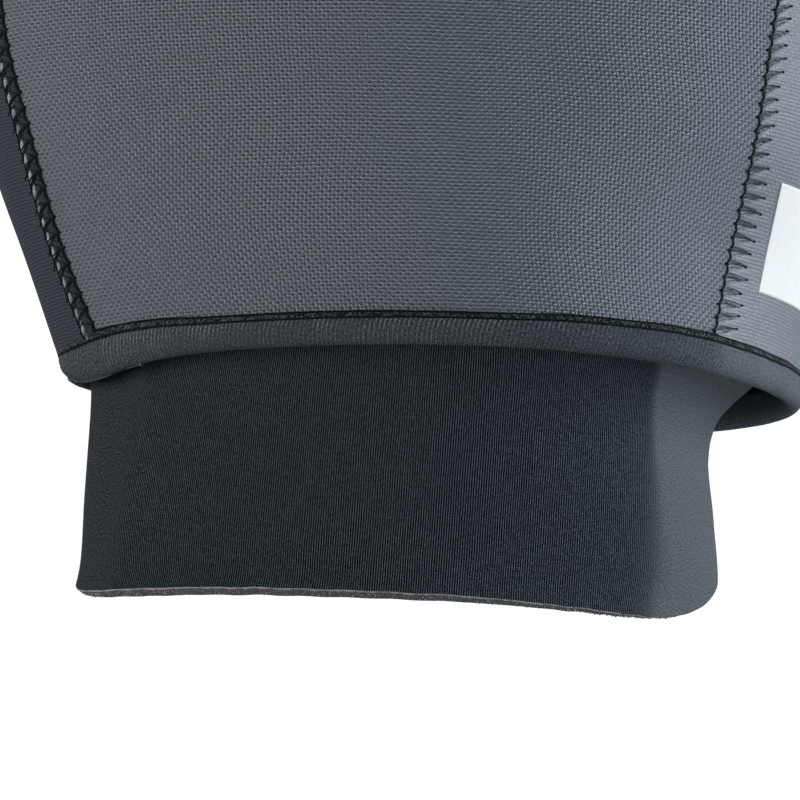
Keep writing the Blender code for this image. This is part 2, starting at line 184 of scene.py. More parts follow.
@dataclass(frozen=True)
class ShellForm:
    """The outer shell's surface, read by an angle round it and a level up it.

    Levels from 0 to 1 climb the body, and from 1 to 2 they go over the crown.
    """

    wall: float = 0.003
    bar_above_hem: float = 0.190
    hand_rise: float = 0.205
    crown_rise: float = 0.075
    ridge_half_length: float = 0.078
    hem_left: float = 0.0931
    hem_right: float = 0.0918
    hem_front: float = 0.0615
    hem_back: float = 0.0605
    body_left: float = 0.131
    body_right: float = 0.112
    body_front: float = 0.072
    body_back: float = 0.068
    rows: Table = (
        (0.000, 0.00, 0.00, 0.00, 0.00, 0.190, 0.085, 1.55, 1.30, 0.899, 0.679),
        (0.137, 0.29, 0.07, 0.39, 0.33, 0.130, 0.065, 1.40, 1.15, 0.917, 0.739),
        (0.273, 0.58, 0.20, 0.67, 0.67, 0.075, 0.043, 1.25, 0.70, 0.909, 0.790),
        (0.410, 0.80, 0.46, 0.89, 0.83, 0.064, 0.032, 1.20, 0.68, 0.911, 0.783),
        (0.585, 0.95, 0.73, 1.00, 1.00, 0.043, 0.020, 1.15, 0.80, 0.892, 0.786),
        (0.780, 1.00, 0.95, 0.92, 0.92, 0.020, 0.000, 1.10, 0.90, 0.845, 0.765),
        (1.000, 0.96, 0.95, 0.66, 0.60, 0.000, 0.000, 1.05, 1.00, 0.830, 0.760),
    )

    def points(self, angle: Array, level: Array) -> Array:
        """Points of the outer face.

        Args:
            angle: The angle of each point.
            level: The level of each point, of the same shape.

        Returns:
            The points, with their coordinates along the last axis.
        """
        over = np.maximum(level - 1, 0) * math.pi / 2
        row = read_table(self.rows, np.minimum(level, 1))
        left, right, front, back, peak, ends, left_round, right_round = row[:8]
        shrink = np.cos(over)
        width = np.abs(shrink)
        middle = peak * self.hem_left * width
        end = ends * self.hem_left * shrink
        section = Section(
            peak=middle,
            left=mix(self.ridge_half_length, mix(self.hem_left, self.body_left, left), width) + middle,
            right=mix(self.ridge_half_length, mix(self.hem_right, self.body_right, right), width) - middle,
            front=mix(self.hem_front, self.body_front, front) * shrink,
            back=mix(self.hem_back, self.body_back, back) * shrink,
            left_end=end,
            right_end=end,
            left_round=left_round,
            right_round=right_round,
        )
        rise = self.hand_rise * np.minimum(level, 1) + self.crown_rise * np.sin(over)
        return section.points(angle, rise - self.bar_above_hem)

    def tangents(self, angle: Array, level: Array) -> tuple[Array, Array]:
        """Returns the surface's changes per radian round it and per level up it."""
        around = self.points(angle + STEP, level) - self.points(angle - STEP, level)
        upward = self.points(angle, level + STEP) - self.points(angle, level - STEP)
        return around / (2 * STEP), upward / (2 * STEP)

    def outward(self, angle: Array, level: Array) -> Array:
        """Returns the surface's outward directions."""
        around, upward = self.tangents(angle, level)
        return unit(np.cross(around, upward))

    def off(self, angle: Array, level: Array, distance: Array | float) -> Array:
        """Points at a distance outward from the outer face, or inside it where the distance is negative.

        Args:
            angle: The angle of each point.
            level: The level of each point.
            distance: How far outward each point lies.

        Returns:
            The points.
        """
        lift = np.broadcast_to(distance, np.shape(angle))[..., None]
        return self.points(angle, level) + self.outward(angle, level) * lift

    def front_seams(self, level: Array) -> tuple[Array, Array]:
        """Returns the angles of the front's left and right seams, which run out to the ridge's two ends."""
        left_seam, right_seam = read_table(self.rows, np.minimum(level, 1))[8:]
        narrowing = np.abs(np.cos(np.maximum(level - 1, 0) * math.pi / 2))
        left_share = 1 - (1 - left_seam) * narrowing
        right_share = 1 - (1 - right_seam) * narrowing
        return np.arccos(left_share), math.pi - np.arccos(right_share)

    def hem_level(self, above_hem: Array | float) -> Array | float:
        """Returns the level of a height above the hem's plane."""
        return above_hem / self.hand_rise


SHELL = ShellForm()


class Seam(Enum):
    """The four upright seams between the panels: each one's name, and its turn onto the side panel."""

    LEFT_FRONT = ("left_front", -1)
    RIGHT_FRONT = ("right_front", 1)
    RIGHT_BACK = ("right_back", -1)
    LEFT_BACK = ("left_back", 1)

    def angle(self, level: Array) -> Array:
        """Returns the seam's angles at levels of the shell."""
        left, right = SHELL.front_seams(level)
        turned = {"left_front": left, "right_front": right, "right_back": TAU - right, "left_back": -left}
        return turned[self.value[0]]


@dataclass(frozen=True)
class SeamPath:
    """A seam read by the length up it from the hem, and the distance across it onto the side panel."""

    seam: Seam
    start_above_hem: float = 0.0066
    last_level: float = 1.955
    samples: int = 900

    def ruler(self) -> tuple[Array, Array]:
        """Returns levels along the seam, and the length up to each."""
        levels = np.linspace(SHELL.hem_level(self.start_above_hem), self.last_level, self.samples)
        points = SHELL.points(self.seam.angle(levels), levels)
        return levels, run_of(points, 0)

    def length(self) -> float:
        """Returns the seam's length."""
        return float(self.ruler()[1][-1])

    def points(self, along: Array, across: Array, lift: Array) -> Array:
        """Points on and beside the seam.

        Args:
            along: Lengths up the seam.
            across: Distances onto the side panel, or onto the other panel where they are negative.
            lift: Distances outward from the shell.

        Returns:
            The points.
        """
        levels, lengths = self.ruler()
        level = np.interp(along, lengths, levels)
        angle = self.seam.angle(level)
        around, _ = SHELL.tangents(angle, level)
        turn = across / np.maximum(np.linalg.norm(around, axis=-1), 0.004)
        return SHELL.off(angle + self.seam.value[1] * turn, level, lift)

    def beside(self, along: Array, across: float, lift: float) -> Array:
        """Returns points at lengths up the seam, all at one distance across it and one lift."""
        return self.points(along, np.full_like(along, across), np.full_like(along, lift))


class Value:
    """A number, place or colour that a shader node gives out. Sums of values add Math nodes."""

    def __init__(self, draft: "NodeDraft", socket: NodeSocket) -> None:
        """Keeps the output and the draft that it belongs to."""
        self.draft, self.socket = draft, socket

    def __add__(self, other: "Value | float") -> "Value":
        """Returns the sum."""
        return self.draft.math("ADD", self, other)

    def __sub__(self, other: "Value | float") -> "Value":
        """Returns what is left."""
        return self.draft.math("SUBTRACT", self, other)

    def __rsub__(self, other: float) -> "Value":
        """Returns what is left of a number."""
        return self.draft.math("SUBTRACT", other, self)

    def __mul__(self, other: "Value | float") -> "Value":
        """Returns the product."""
        return self.draft.math("MULTIPLY", self, other)

    def __truediv__(self, other: float) -> "Value":
        """Returns the quotient."""
        return self.draft.math("DIVIDE", self, other)

    def __pow__(self, power: float) -> "Value":
        """Returns the value raised to a power."""
        return self.draft.math("POWER", self, power)

    def __abs__(self) -> "Value":
        """Returns the value without its sign."""
        return self.draft.math("ABSOLUTE", self)

    def wave(self, period: float) -> "Value":
        """Returns a wave from -1 to 1, with its crests a period apart."""
        return self.draft.math("COSINE", self * (TAU / period))

    def between(self, low: float, high: float, to_low: float = 0.0, to_high: float = 1.0) -> "Value":
        """Returns the value moved smoothly from one range into another, and held there."""
        inputs = {"Value": self, "From Min": low, "From Max": high, "To Min": to_low, "To Max": to_high}
        return self.draft.node("MapRange", inputs, interpolation_type="SMOOTHSTEP", clamp=True)


Input = Value | float | Colour


class NodeDraft:
    """Adds shader nodes to a new material and joins them as they are made."""

    def __init__(self, name: str) -> None:
        """Starts a material with one Principled shader."""
        self.material: Material = bpy.data.materials.new(name)
        self.material.use_nodes = True
        self.tree = self.material.node_tree

    def join(self, value: Input, socket: NodeSocket) -> None:
        """Joins an output to a socket, or sets the socket where the value is plain."""
        if isinstance(value, Value):
            self.tree.links.new(value.socket, socket)
        else:
            socket.default_value = (*value, 1.0) if isinstance(value, tuple) else value

    def node(
        self, kind: str, inputs: dict[int | str, Input], output: int | str = 0, **settings: object
    ) -> Value:
        """Adds a node.

        Args:
            kind: Blender's name for the node's type, without its prefix.
            inputs: What goes in, by the input's place or name.
            output: The place or name of the output that is used.
            **settings: The node's own settings.

        Returns:
            The output.
        """
        made = self.tree.nodes.new("ShaderNode" + kind)
        for key, setting in settings.items():
            setattr(made, key, setting)
        for key, value in inputs.items():
            self.join(value, made.inputs[key])
        return Value(self, made.outputs[output])

    def math(self, operation: str, *values: Input) -> Value:
        """Returns what a Math node makes of some values."""
        return self.node("Math", dict(enumerate(values)), operation=operation)

    def chart(self, name: str = "cloth") -> tuple[Value, Value, Value]:
        """Returns the place on one of the mesh's maps, whole and as two numbers."""
        place = self.node("UVMap", {}, uv_map=name)
        u, v = (self.node("SeparateXYZ", {0: place}, output=axis) for axis in (0, 1))
        return place, u, v

    def vector(self, x: Input, y: Input) -> Value:
        """Returns a place made of two numbers."""
        return self.node("CombineXYZ", {0: x, 1: y})

    def noise(self, place: Value, scale: float, detail: float = 2.0, rough: float = 0.5) -> Value:
        """Returns a noise from 0 to 1, with so many features to a unit of the place."""
        inputs = {"Vector": place, "Scale": scale, "Detail": detail, "Roughness": rough}
        return self.node("TexNoise", inputs)

    def object_noise(self, scale: float, detail: float = 2.0, rough: float = 0.5) -> Value:
        """Returns a noise that is laid through space, with so many features to a metre."""
        return self.noise(self.node("TexCoord", {}, output="Object"), scale, detail, rough)

    def chance(self, place: Value) -> Value:
        """Returns a random number from 0 to 1 that changes at once from place to place."""
        return self.node("TexWhiteNoise", {"Vector": place}, noise_dimensions="3D")

    def blend(self, share: Input, low: Input, high: Input) -> Value:
        """Returns a colour between two."""
        return self.node("Mix", {0: share, 6: low, 7: high}, output=2, data_type="RGBA", clamp_factor=True)

    def attribute(self, name: str) -> Value:
        """Returns a number that the mesh carries at each point."""
        return self.node("Attribute", {}, output="Fac", attribute_name=name)

    def bump(self, height: Value, distance: float) -> Value:
        """Returns the normals of a relief, in which a height of 1 stands a distance in metres above 0."""
        return self.node("Bump", {"Height": height, "Distance": distance, "Strength": 1.0})

    def dress(self, **sockets: Input) -> Material:
        """Fills the shader's inputs, named with underscores for spaces, and returns the material."""
        for name, value in sockets.items():
            self.join(value, self.tree.nodes["Principled BSDF"].inputs[name.replace("_", " ")])
        return self.material


@dataclass(frozen=True)
class EmbossedSkin:
    """Grey neoprene skin pressed with a fine plain weave of flat threads.

    It is gathered in tufts at a legged seam, where the mesh's map "tuft" gives a place, with painted shade
    in the gathers.
    """

    name: str = "embossed_skin"
    column_pitch: float = 1.06
    row_pitch: float = 0.935
    pit_shade: Colour = (0.006, 0.009, 0.012)
    mid: Colour = (0.079, 0.094, 0.112)
    level: Colour = (0.192, 0.225, 0.270)
    drift: float = 1.3
    upright_height: float = 0.55
    thread_round: float = 0.7
    painted_lit: tuple[float, float] = (1.3, 2.7)
    painted_sheen: float = 0.14
    painted_slope_light: float = 0.72
    mottle: float = 0.16
    roughness: float = 0.40
    relief: float = 0.00040
    tuft_shade: Colour = (0.010, 0.012, 0.016)
    tuft_reach: float = 5.2
    tuft_half: float = 2.0
    tuft_pitch: float = LEG_PITCH / MM

    def make(self) -> Material:
        """Returns the material."""
        draft = NodeDraft(self.name)
        place, u, v = draft.chart()
        drift = (draft.noise(place, 0.06) - 0.5) * self.drift
        u, v = u + drift, v + drift * -0.8
        across, up = u.wave(2 * self.column_pitch), v.wave(2 * self.row_pitch)
        over = across * up * 0.5
        flat_thread = abs(up) ** self.thread_round * 0.5 + over
        upright_thread = abs(across) ** self.thread_round * 0.5 - over
        height = draft.math("MAXIMUM", flat_thread, upright_thread * self.upright_height)
        # Painted highlight on the lower half of each flat thread and painted shade on its upper half, as if
        # lit from above.
        edge = draft.math("SINE", v * (TAU / self.row_pitch))
        cell = draft.vector(
            draft.math("ROUND", u / self.column_pitch),
            draft.math("ROUND", v / self.row_pitch),
        )
        painted_lit = draft.math("MAXIMUM", over * draft.chance(cell).between(0.0, 1.0, *self.painted_lit), 0.0)
        # Thread tops painted lighter and pits painted darker: painted shade in the weave's hollows.
        tone = height.between(0.02, 0.46, 0.03, 0.42) + painted_lit * (self.painted_sheen - edge * self.painted_slope_light)
        mottle = draft.noise(place, 0.9, 3.0, 0.6).between(0.3, 0.75, 0.0, self.mottle)
        colour = draft.blend(mottle, draft.blend(tone, self.pit_shade, self.level), self.mid)
        near, tuft = self.tufts(draft)
        relief = height * (1.0 - near * 0.5)
        # Painted shade of the gathers darkens the skin beside the seam.
        colour = draft.blend(tuft, draft.blend(near * 0.5, colour, self.mid), self.tuft_shade)
        gloss = draft.noise(place, 0.35).between(0.3, 0.7, self.roughness - 0.05, self.roughness + 0.07)
        normal = draft.bump(relief, self.relief)
        return draft.dress(Base_Color=colour, Roughness=gloss, Normal=normal, Specular_IOR_Level=0.38)

    def tufts(self, draft: NodeDraft) -> tuple[Value, Value]:
        """Adds the painted shade of the gathered cloth beside a legged seam.

        Args:
            draft: The material that is being made.

        Returns:
            How close the seam is, from 0 to 1, and how much painted shade lies in the gathers.
        """
        _, closeness, along = draft.chart("tuft")
        distance = (1.0 - closeness) * (SEAM_REACH / MM)
        phase = draft.math("FRACT", along / self.tuft_pitch + 0.5)
        beside = abs((phase - 0.5) * self.tuft_pitch)
        streak = draft.noise(draft.vector(distance * 0.5, along * 4.6), 1.0, 4.0, 0.7)
        half = (1.0 - distance / self.tuft_reach) * self.tuft_half
        inside = (half + (streak - 0.5) * 1.1 - beside).between(-0.35, 0.45)
        # Painted shade in the creases of the gathered cloth between the legs.
        dark = inside * streak.between(0.47, 0.60, 1.0, 0.36) * distance.between(0.3, 4.0, 0.80, 1.0)
        return closeness.between(0.05, 0.95), dark * closeness.between(0.01, 0.06)


@dataclass(frozen=True)
class Jersey:
    """Knitted cloth with wales a pitch apart, each a chain of small stitches."""

    name: str
    groove: Colour
    rib: Colour
    wale: float = 0.6
    stitch: float = 0.75
    drift: float = 0.8
    level_wales: bool = False
    depth: float = 0.00010
    smooth_colour: Colour = (0.03, 0.03, 0.03)
    painted_light_colour: Colour = (0.03, 0.03, 0.03)
    speckle: float = 0.75
    fading: float = 0.0
    roughness: float = 0.85

    def make(self) -> Material:
        """Makes the cloth. Its wales fade into an even cloth where the mesh's number "smooth" is 1, and
        painted light brightens that cloth where "light" is 1.

        Returns:
            The material.
        """
        draft = NodeDraft(self.name)
        place, u, v = draft.chart()
        if self.level_wales:
            u, v = v, u
        u = u + (draft.noise(place, 0.05) - 0.5) * self.drift
        column = draft.math("FLOOR", u / self.wale + 0.5)
        nudge = draft.chance(draft.vector(column, 0.5)) * 0.35
        bead = (v / self.stitch + nudge).wave(1.0).between(-0.8, 0.7, 0.86, 1.0)
        wales = u.wave(self.wale).between(-0.1, 0.85) * bead
        luck = draft.noise(draft.vector(u * 2.6, v * 1.3), 1.0).between(0.34, 0.66, 0.42, 1.0)
        fine = draft.noise(place, 2.5, 4.0, 0.75).between(0.41, 0.60)
        # Painted light: the "light" number brightens the cloth where it turns toward the lamps.
        light = draft.attribute("light")
        faded = draft.math("MAXIMUM", draft.math("MAXIMUM", draft.attribute("smooth"), light), self.fading)
        even = draft.blend(light, self.smooth_colour, self.painted_light_colour)
        even = draft.blend((1.0 - fine) * (self.speckle - light * 0.28), even, self.groove)
        # Painted shade: the grooves between the wales are coloured dark.
        colour = draft.blend(faded, draft.blend(wales * luck, self.groove, self.rib), even)
        normal = draft.bump(wales * 0.9 * (1.0 - faded) + fine * 0.3, self.depth)
        return draft.dress(
            Base_Color=colour, Normal=normal, Roughness=self.roughness, Specular_IOR_Level=0.1
        )


@dataclass(frozen=True)
class BindingTape:
    """Dark knitted edging tape, with fine ribs that turn aslant over its fold and a looped strip."""

    name: str = "edging_tape"
    tape: Colour = (0.112, 0.126, 0.142)
    shade: Colour = (0.013, 0.016, 0.021)
    strip: Colour = (0.003, 0.004, 0.005)
    loop: Colour = (0.062, 0.069, 0.077)
    thread: Colour = (0.002, 0.002, 0.003)
    rib_pitch: float = 1.24
    slant: float = -2.4
    slant_left: float = 0.55
    lean: float = 0.30
    loop_width: float = 0.34
    loop_height: float = 0.3
    strip_to: float = 1.8
    edge_thread_and_shadow: tuple[float, float] = (0.15, 0.34)
    strip_thread: float = 0.19

    def make(self) -> Material:
        """Makes the tape. Its map runs round the hem from the middle of the back, and from the tape's outer
        edge over the fold. The mesh's number "shade" paints shade on it, and painted light where it is
        negative.

        Returns:
            The material.
        """
        draft = NodeDraft(self.name)
        place, u, v = draft.chart()
        slant = draft.math("POWER", self.slant_left, v) * self.slant + v * self.lean
        turned = u + slant + (draft.noise(place, 0.10) - 0.5) * 0.8
        rib = turned.wave(self.rib_pitch).between(-0.4, 0.95)
        fine = turned.wave(self.rib_pitch / 2).between(-0.4, 0.9)
        fuzz = draft.noise(place, 1.9, 4.0, 0.75)
        bold = draft.noise(place, 0.07).between(0.40, 0.58, 0.34, 0.74) * u.between(275.0, 320.0, 1.0, 0.35)
        ribs = rib * (bold * v.between(2.6, 5.0, 1.0, 0.35)) + fine * v.between(2.6, 4.6, 0.02, 0.22)
        tone = (ribs + 0.20) * fuzz.between(0.38, 0.62, 0.20, 1.65)
        # Painted shade where the "shade" number is positive, painted light where it is negative, and painted
        # light on the tape's far right end.
        tone = tone - draft.attribute("shade") * 0.2 + u.between(322.0, 346.0, -0.07, 0.22)
        cell = draft.vector(
            draft.math("FLOOR", (u + v * 0.6) / self.loop_width),
            draft.math("FLOOR", v / self.loop_height),
        )
        loops = draft.blend(draft.chance(cell).between(0.4, 1.0), self.strip, self.loop)
        in_strip = v.between(self.strip_to - 0.1, self.strip_to + 0.1, 1.0, 0.0)
        colour = draft.blend(in_strip, draft.blend(tone, self.shade, self.tape), loops)
        at = v + (draft.noise(place, 0.8) - 0.5) * 0.3
        # The line at the tape's outer edge is a painted thread and painted contact shadow where the tape
        # meets the panel.
        for line, thick in (self.edge_thread_and_shadow, (self.strip_to, self.strip_thread)):
            near = abs(at - line).between(thick, thick + 0.14, 1.0, 0.0)
            colour = draft.blend(near, colour, self.thread)
        normal = draft.bump(rib * 0.5 + fuzz * 0.8, 0.00012)
        return draft.dress(Base_Color=colour, Normal=normal, Roughness=0.8, Specular_IOR_Level=0.1)


@dataclass(frozen=True)
class Thread:
    """Black sewing thread of twisted plies."""

    name: str = "black_thread"
    dark: Colour = (0.0006, 0.0010, 0.0016)
    light: Colour = (0.0050, 0.0070, 0.0095)

    def make(self) -> Material:
        """Returns the material."""
        draft = NodeDraft(self.name)
        plies = draft.object_noise(4200.0, 2.0, 0.6)
        colour = draft.blend(plies.between(0.45, 0.75), self.dark, self.light)
        normal = draft.bump(plies, 0.00006)
        return draft.dress(Base_Color=colour, Normal=normal, Roughness=0.6, Specular_IOR_Level=0.15)


@dataclass(frozen=True)
class PuffedEdge:
    """The pressed edge that stands up between a seam's crossing threads: dark cloth, with painted glints on
    its ridge.
    """

    name: str = "puffed_edge"
    dark: Colour = (0.026, 0.030, 0.037)
    pale: Colour = (0.42, 0.46, 0.53)

    def make(self) -> Material:
        """Returns the material, which carries painted glints where the mesh's number "pale" is 1."""
        draft = NodeDraft(self.name)
        fuzz = draft.noise(draft.chart()[0], 2.6, 3.0, 0.6)
        # Painted glints where the "pale" number is 1.
        pale = draft.attribute("pale") * fuzz.between(0.38, 0.60, 0.1, 1.0)
        colour = draft.blend(pale, self.dark, self.pale)
        normal = draft.bump(fuzz, 0.00016)
        return draft.dress(Base_Color=colour, Normal=normal, Roughness=0.85, Specular_IOR_Level=0.08)


@dataclass(frozen=True)
class CutFoam:
    """The open cells of cut neoprene foam, with a thin pale line along its outer face."""

    name: str = "cut_foam"
    foam: Colour = (0.105, 0.096, 0.099)
    cell: Colour = (0.032, 0.028, 0.030)
    face: Colour = (0.240, 0.243, 0.252)

    def make(self) -> Material:
        """Returns the material. The mesh's number "depth" is 0 at the outer face and 1 at the inner one."""
        draft = NodeDraft(self.name)
        cells = draft.object_noise(2600.0, 3.0, 0.7)
        depth = draft.attribute("depth") + (draft.object_noise(500.0) - 0.5) * 0.35
        colour = draft.blend(cells.between(0.35, 0.65), self.cell, self.foam)
        colour = draft.blend(depth.between(0.06, 0.20, 1.0, 0.0), colour, self.face)
        return draft.dress(Base_Color=colour, Normal=draft.bump(cells, 0.00035), Roughness=0.95)


@dataclass(frozen=True)
class LabelFilm:
    """Bare white film pressed onto the cloth, which shows faintly through it."""

    name: str = "white_film"
    film: Colour = (0.500, 0.500, 0.500)
    worn: Colour = (0.475, 0.475, 0.475)

    def make(self) -> Material:
        """Returns the material."""
        draft = NodeDraft(self.name)
        place, u, v = draft.chart()
        cloudy = draft.noise(place, 0.22, 3.0, 0.6)
        colour = draft.blend(cloudy.between(0.4, 0.8), self.film, self.worn)
        weave = u.wave(2 * EmbossedSkin.column_pitch) * v.wave(2 * EmbossedSkin.row_pitch)
        normal = draft.bump(weave + draft.noise(place, 3.0), 0.000006)
        return draft.dress(Base_Color=colour, Normal=normal, Roughness=0.55, Specular_IOR_Level=0.3)


FINISHES = {
    "skin": EmbossedSkin(),
    # A lighter copy of the skin for the right side panel: painted light, as that panel faces the right
    # lamps.
    "lit_skin": EmbossedSkin(
        "lit_embossed_skin", pit_shade=(0.060, 0.070, 0.082), mid=(0.098, 0.113, 0.132),
        level=(0.160, 0.184, 0.213), relief=0.00020,
    ),
    "side": Jersey(
        "side_jersey", groove=(0.012, 0.014, 0.020), rib=(0.064, 0.074, 0.094), wale=0.9, stitch=1.1,
        drift=2.5, level_wales=True, depth=0.00005, smooth_colour=(0.058, 0.066, 0.083), speckle=0.95,
        fading=0.5,
    ),
    "ribs": Jersey(
        "ribbed_jersey", groove=(0.0004, 0.0009, 0.0018), rib=(0.092, 0.114, 0.142), depth=0.00016,
        smooth_colour=(0.045, 0.053, 0.063), painted_light_colour=(0.103, 0.117, 0.133), speckle=0.95,
    ),
    "tape": BindingTape(),
    "thread": Thread(),
    "edge": PuffedEdge(),
    "foam": CutFoam(),
    "film": LabelFilm(),
    "lining": Jersey(
        "lining_jersey", groove=(0.004, 0.005, 0.006), rib=(0.024, 0.027, 0.031), wale=0.7, stitch=0.8,
        smooth_colour=(0.015, 0.016, 0.018),
    ),
}


@cache
def finish(name: str) -> Material:
    """Returns one of the finishes, which is made when it is first asked for."""
    return FINISHES[name].make()


@dataclass
class ClothGrid:
    """Rows and columns of points that a cloth is laid on, with its map in millimetres and its numbers."""

    points: Array
    u: Array
    v: Array
    numbers: dict[str, Array] = field(default_factory=dict)
    tuft: tuple[Array, Array] | None = None

    def area(self) -> float:
        """Returns the area of the cloth, in square metres."""
        rights, ups = np.diff(self.points, axis=1)[:-1], np.diff(self.points, axis=0)[:, :-1]
        return float(np.linalg.norm(np.cross(rights, ups), axis=-1).sum())

    def size(self) -> tuple[float, float]:
        """Returns the width and length of the flat cloth, in metres."""
        return float(np.ptp(self.u)) * MM, float(np.ptp(self.v)) * MM

    def mesh(self) -> bmesh.types.BMesh:
        """Lays a grid on the points, and welds the points that meet.

        Returns:
            The mesh.
        """
        rows, columns = self.points.shape[:2]
        mesh = bmesh.new()
        charts = [(mesh.loops.layers.uv.new("cloth"), self.u, self.v)]
        if self.tuft is not None:
            charts.append((mesh.loops.layers.uv.new("tuft"), *self.tuft))
        layers = {name: mesh.verts.layers.float.new(name) for name in self.numbers}
        bmesh.ops.create_grid(mesh, x_segments=columns - 1, y_segments=rows - 1, size=0.5)
        flat_points = self.points.reshape(-1, 3)
        for index, vert in enumerate(mesh.verts):
            vert.co = flat_points[index]
        for name, layer in layers.items():
            values = np.broadcast_to(self.numbers[name], (rows, columns)).ravel()
            for index, vert in enumerate(mesh.verts):
                vert[layer] = values[index]
        mesh.verts.index_update()
        for chart, first, second in charts:
            places = np.stack((first, second), axis=-1).reshape(-1, 2)
            for face in mesh.faces:
                for loop in face.loops:
                    loop[chart].uv = places[loop.vert.index]
        bmesh.ops.remove_doubles(mesh, verts=mesh.verts, dist=WELD)
        return mesh


def link(name: str, data: bpy.types.ID) -> Object:
    """Returns a new object of the scene, made of a mesh, a curve, a lamp or a camera."""
    made = bpy.data.objects.new(name, data)
    bpy.context.scene.collection.objects.link(made)
    return made


def to_object(name: str, mesh: bmesh.types.BMesh, *materials: Material) -> Object:
    """Makes a smooth object at the origin from a bmesh, and frees it.

    Args:
        name: The object's name.
        mesh: The mesh.
        *materials: Its materials.

    Returns:
        The object.
    """
    data = bpy.data.meshes.new(name)
    mesh.to_mesh(data)
    mesh.free()
    data.shade_smooth()
    for material in materials:
        data.materials.append(material)
    return link(name, data)


def add_wall(piece: Object, thickness: float, inner: int = 0, rim: int = 0) -> None:
    """Gives a cloth its wall, inward from the outer face that its mesh is.

    Args:
        piece: The cloth.
        thickness: The wall.
        inner: The material slot of the inner face.
        rim: The material slot of the cut edges.
    """
    wall = piece.modifiers.new("wall", "SOLIDIFY")
    wall.thickness = thickness
    wall.offset = -1
    wall.use_quality_normals = True
    wall.material_offset = inner
    wall.material_offset_rim = rim


def attach(*pieces: Object) -> list[Object]:
    """Lets pieces ride on the muff's one body, and returns them."""
    for piece in pieces:
        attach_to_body(piece, BODY)
    return list(pieces)


def stand_in(piece: Object, node: str, slot: str, cloth: ClothGrid) -> Object:
    """Args:
        piece: The cloth.
        node: The solid that it replaces.
        slot: Not used.
        cloth: What it was laid on.

    Returns:
        The cloth.
    """
    attach(piece)
    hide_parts(node)
    width, length = cloth.size()
    min(cloth.area(), width * length)
    return piece


def folded_tape(node: str, cloth: ClothGrid, wall: float) -> Object:
    """Makes a tape that is folded over an edge, and puts it in the place of its solid.

    Args:
        node: The solid that it replaces.
        cloth: The tape's points and map.
        wall: Its thickness.

    Returns:
        The tape.
    """
    mesh = cloth.mesh()
    bmesh.ops.reverse_faces(mesh, faces=mesh.faces)
    piece = to_object(node + "_tape", mesh, finish("tape"))
    add_wall(piece, wall)
    return stand_in(piece, node, "binding_tape", cloth)


def thread_curve(name: str, strands: list[Array], radius: float, material: Material) -> Object:
    """Makes round threads along strands of points.

    Args:
        name: The object's name.
        strands: The points of each thread.
        radius: The thread's radius.
        material: Its finish.

    Returns:
        The object.
    """
    curve = bpy.data.curves.new(name, "CURVE")
    curve.dimensions = "3D"
    curve.bevel_depth = radius
    curve.bevel_resolution = 1
    curve.use_fill_caps = True
    for points in strands:
        spline = curve.splines.new("POLY")
        spline.points.add(len(points) - 1)
        spline.points.foreach_set("co", np.column_stack((points, np.ones(len(points)))).ravel())
    curve.materials.append(material)
    return link(name, curve)


def knots(name: str, places: Array, radius: float, stretch: Array, material: Material) -> Object:
    """Makes a small knot at each place.

    Args:
        name: The object's name.
        places: The knots' centres.
        radius: Their radius.
        stretch: The direction that each is drawn out along.
        material: Their finish.

    Returns:
        The object.
    """
    mesh = bmesh.new()
    for place, direction in zip(places, stretch):
        turn = Vector(direction).to_track_quat("X", "Z").to_matrix().to_4x4()
        matrix = Matrix.Translation(Vector(place)) @ turn @ Matrix.Diagonal((1.7, 1.0, 0.9, 1.0))
        bmesh.ops.create_icosphere(mesh, subdivisions=1, radius=radius, matrix=matrix)
    return to_object(name, mesh, material)


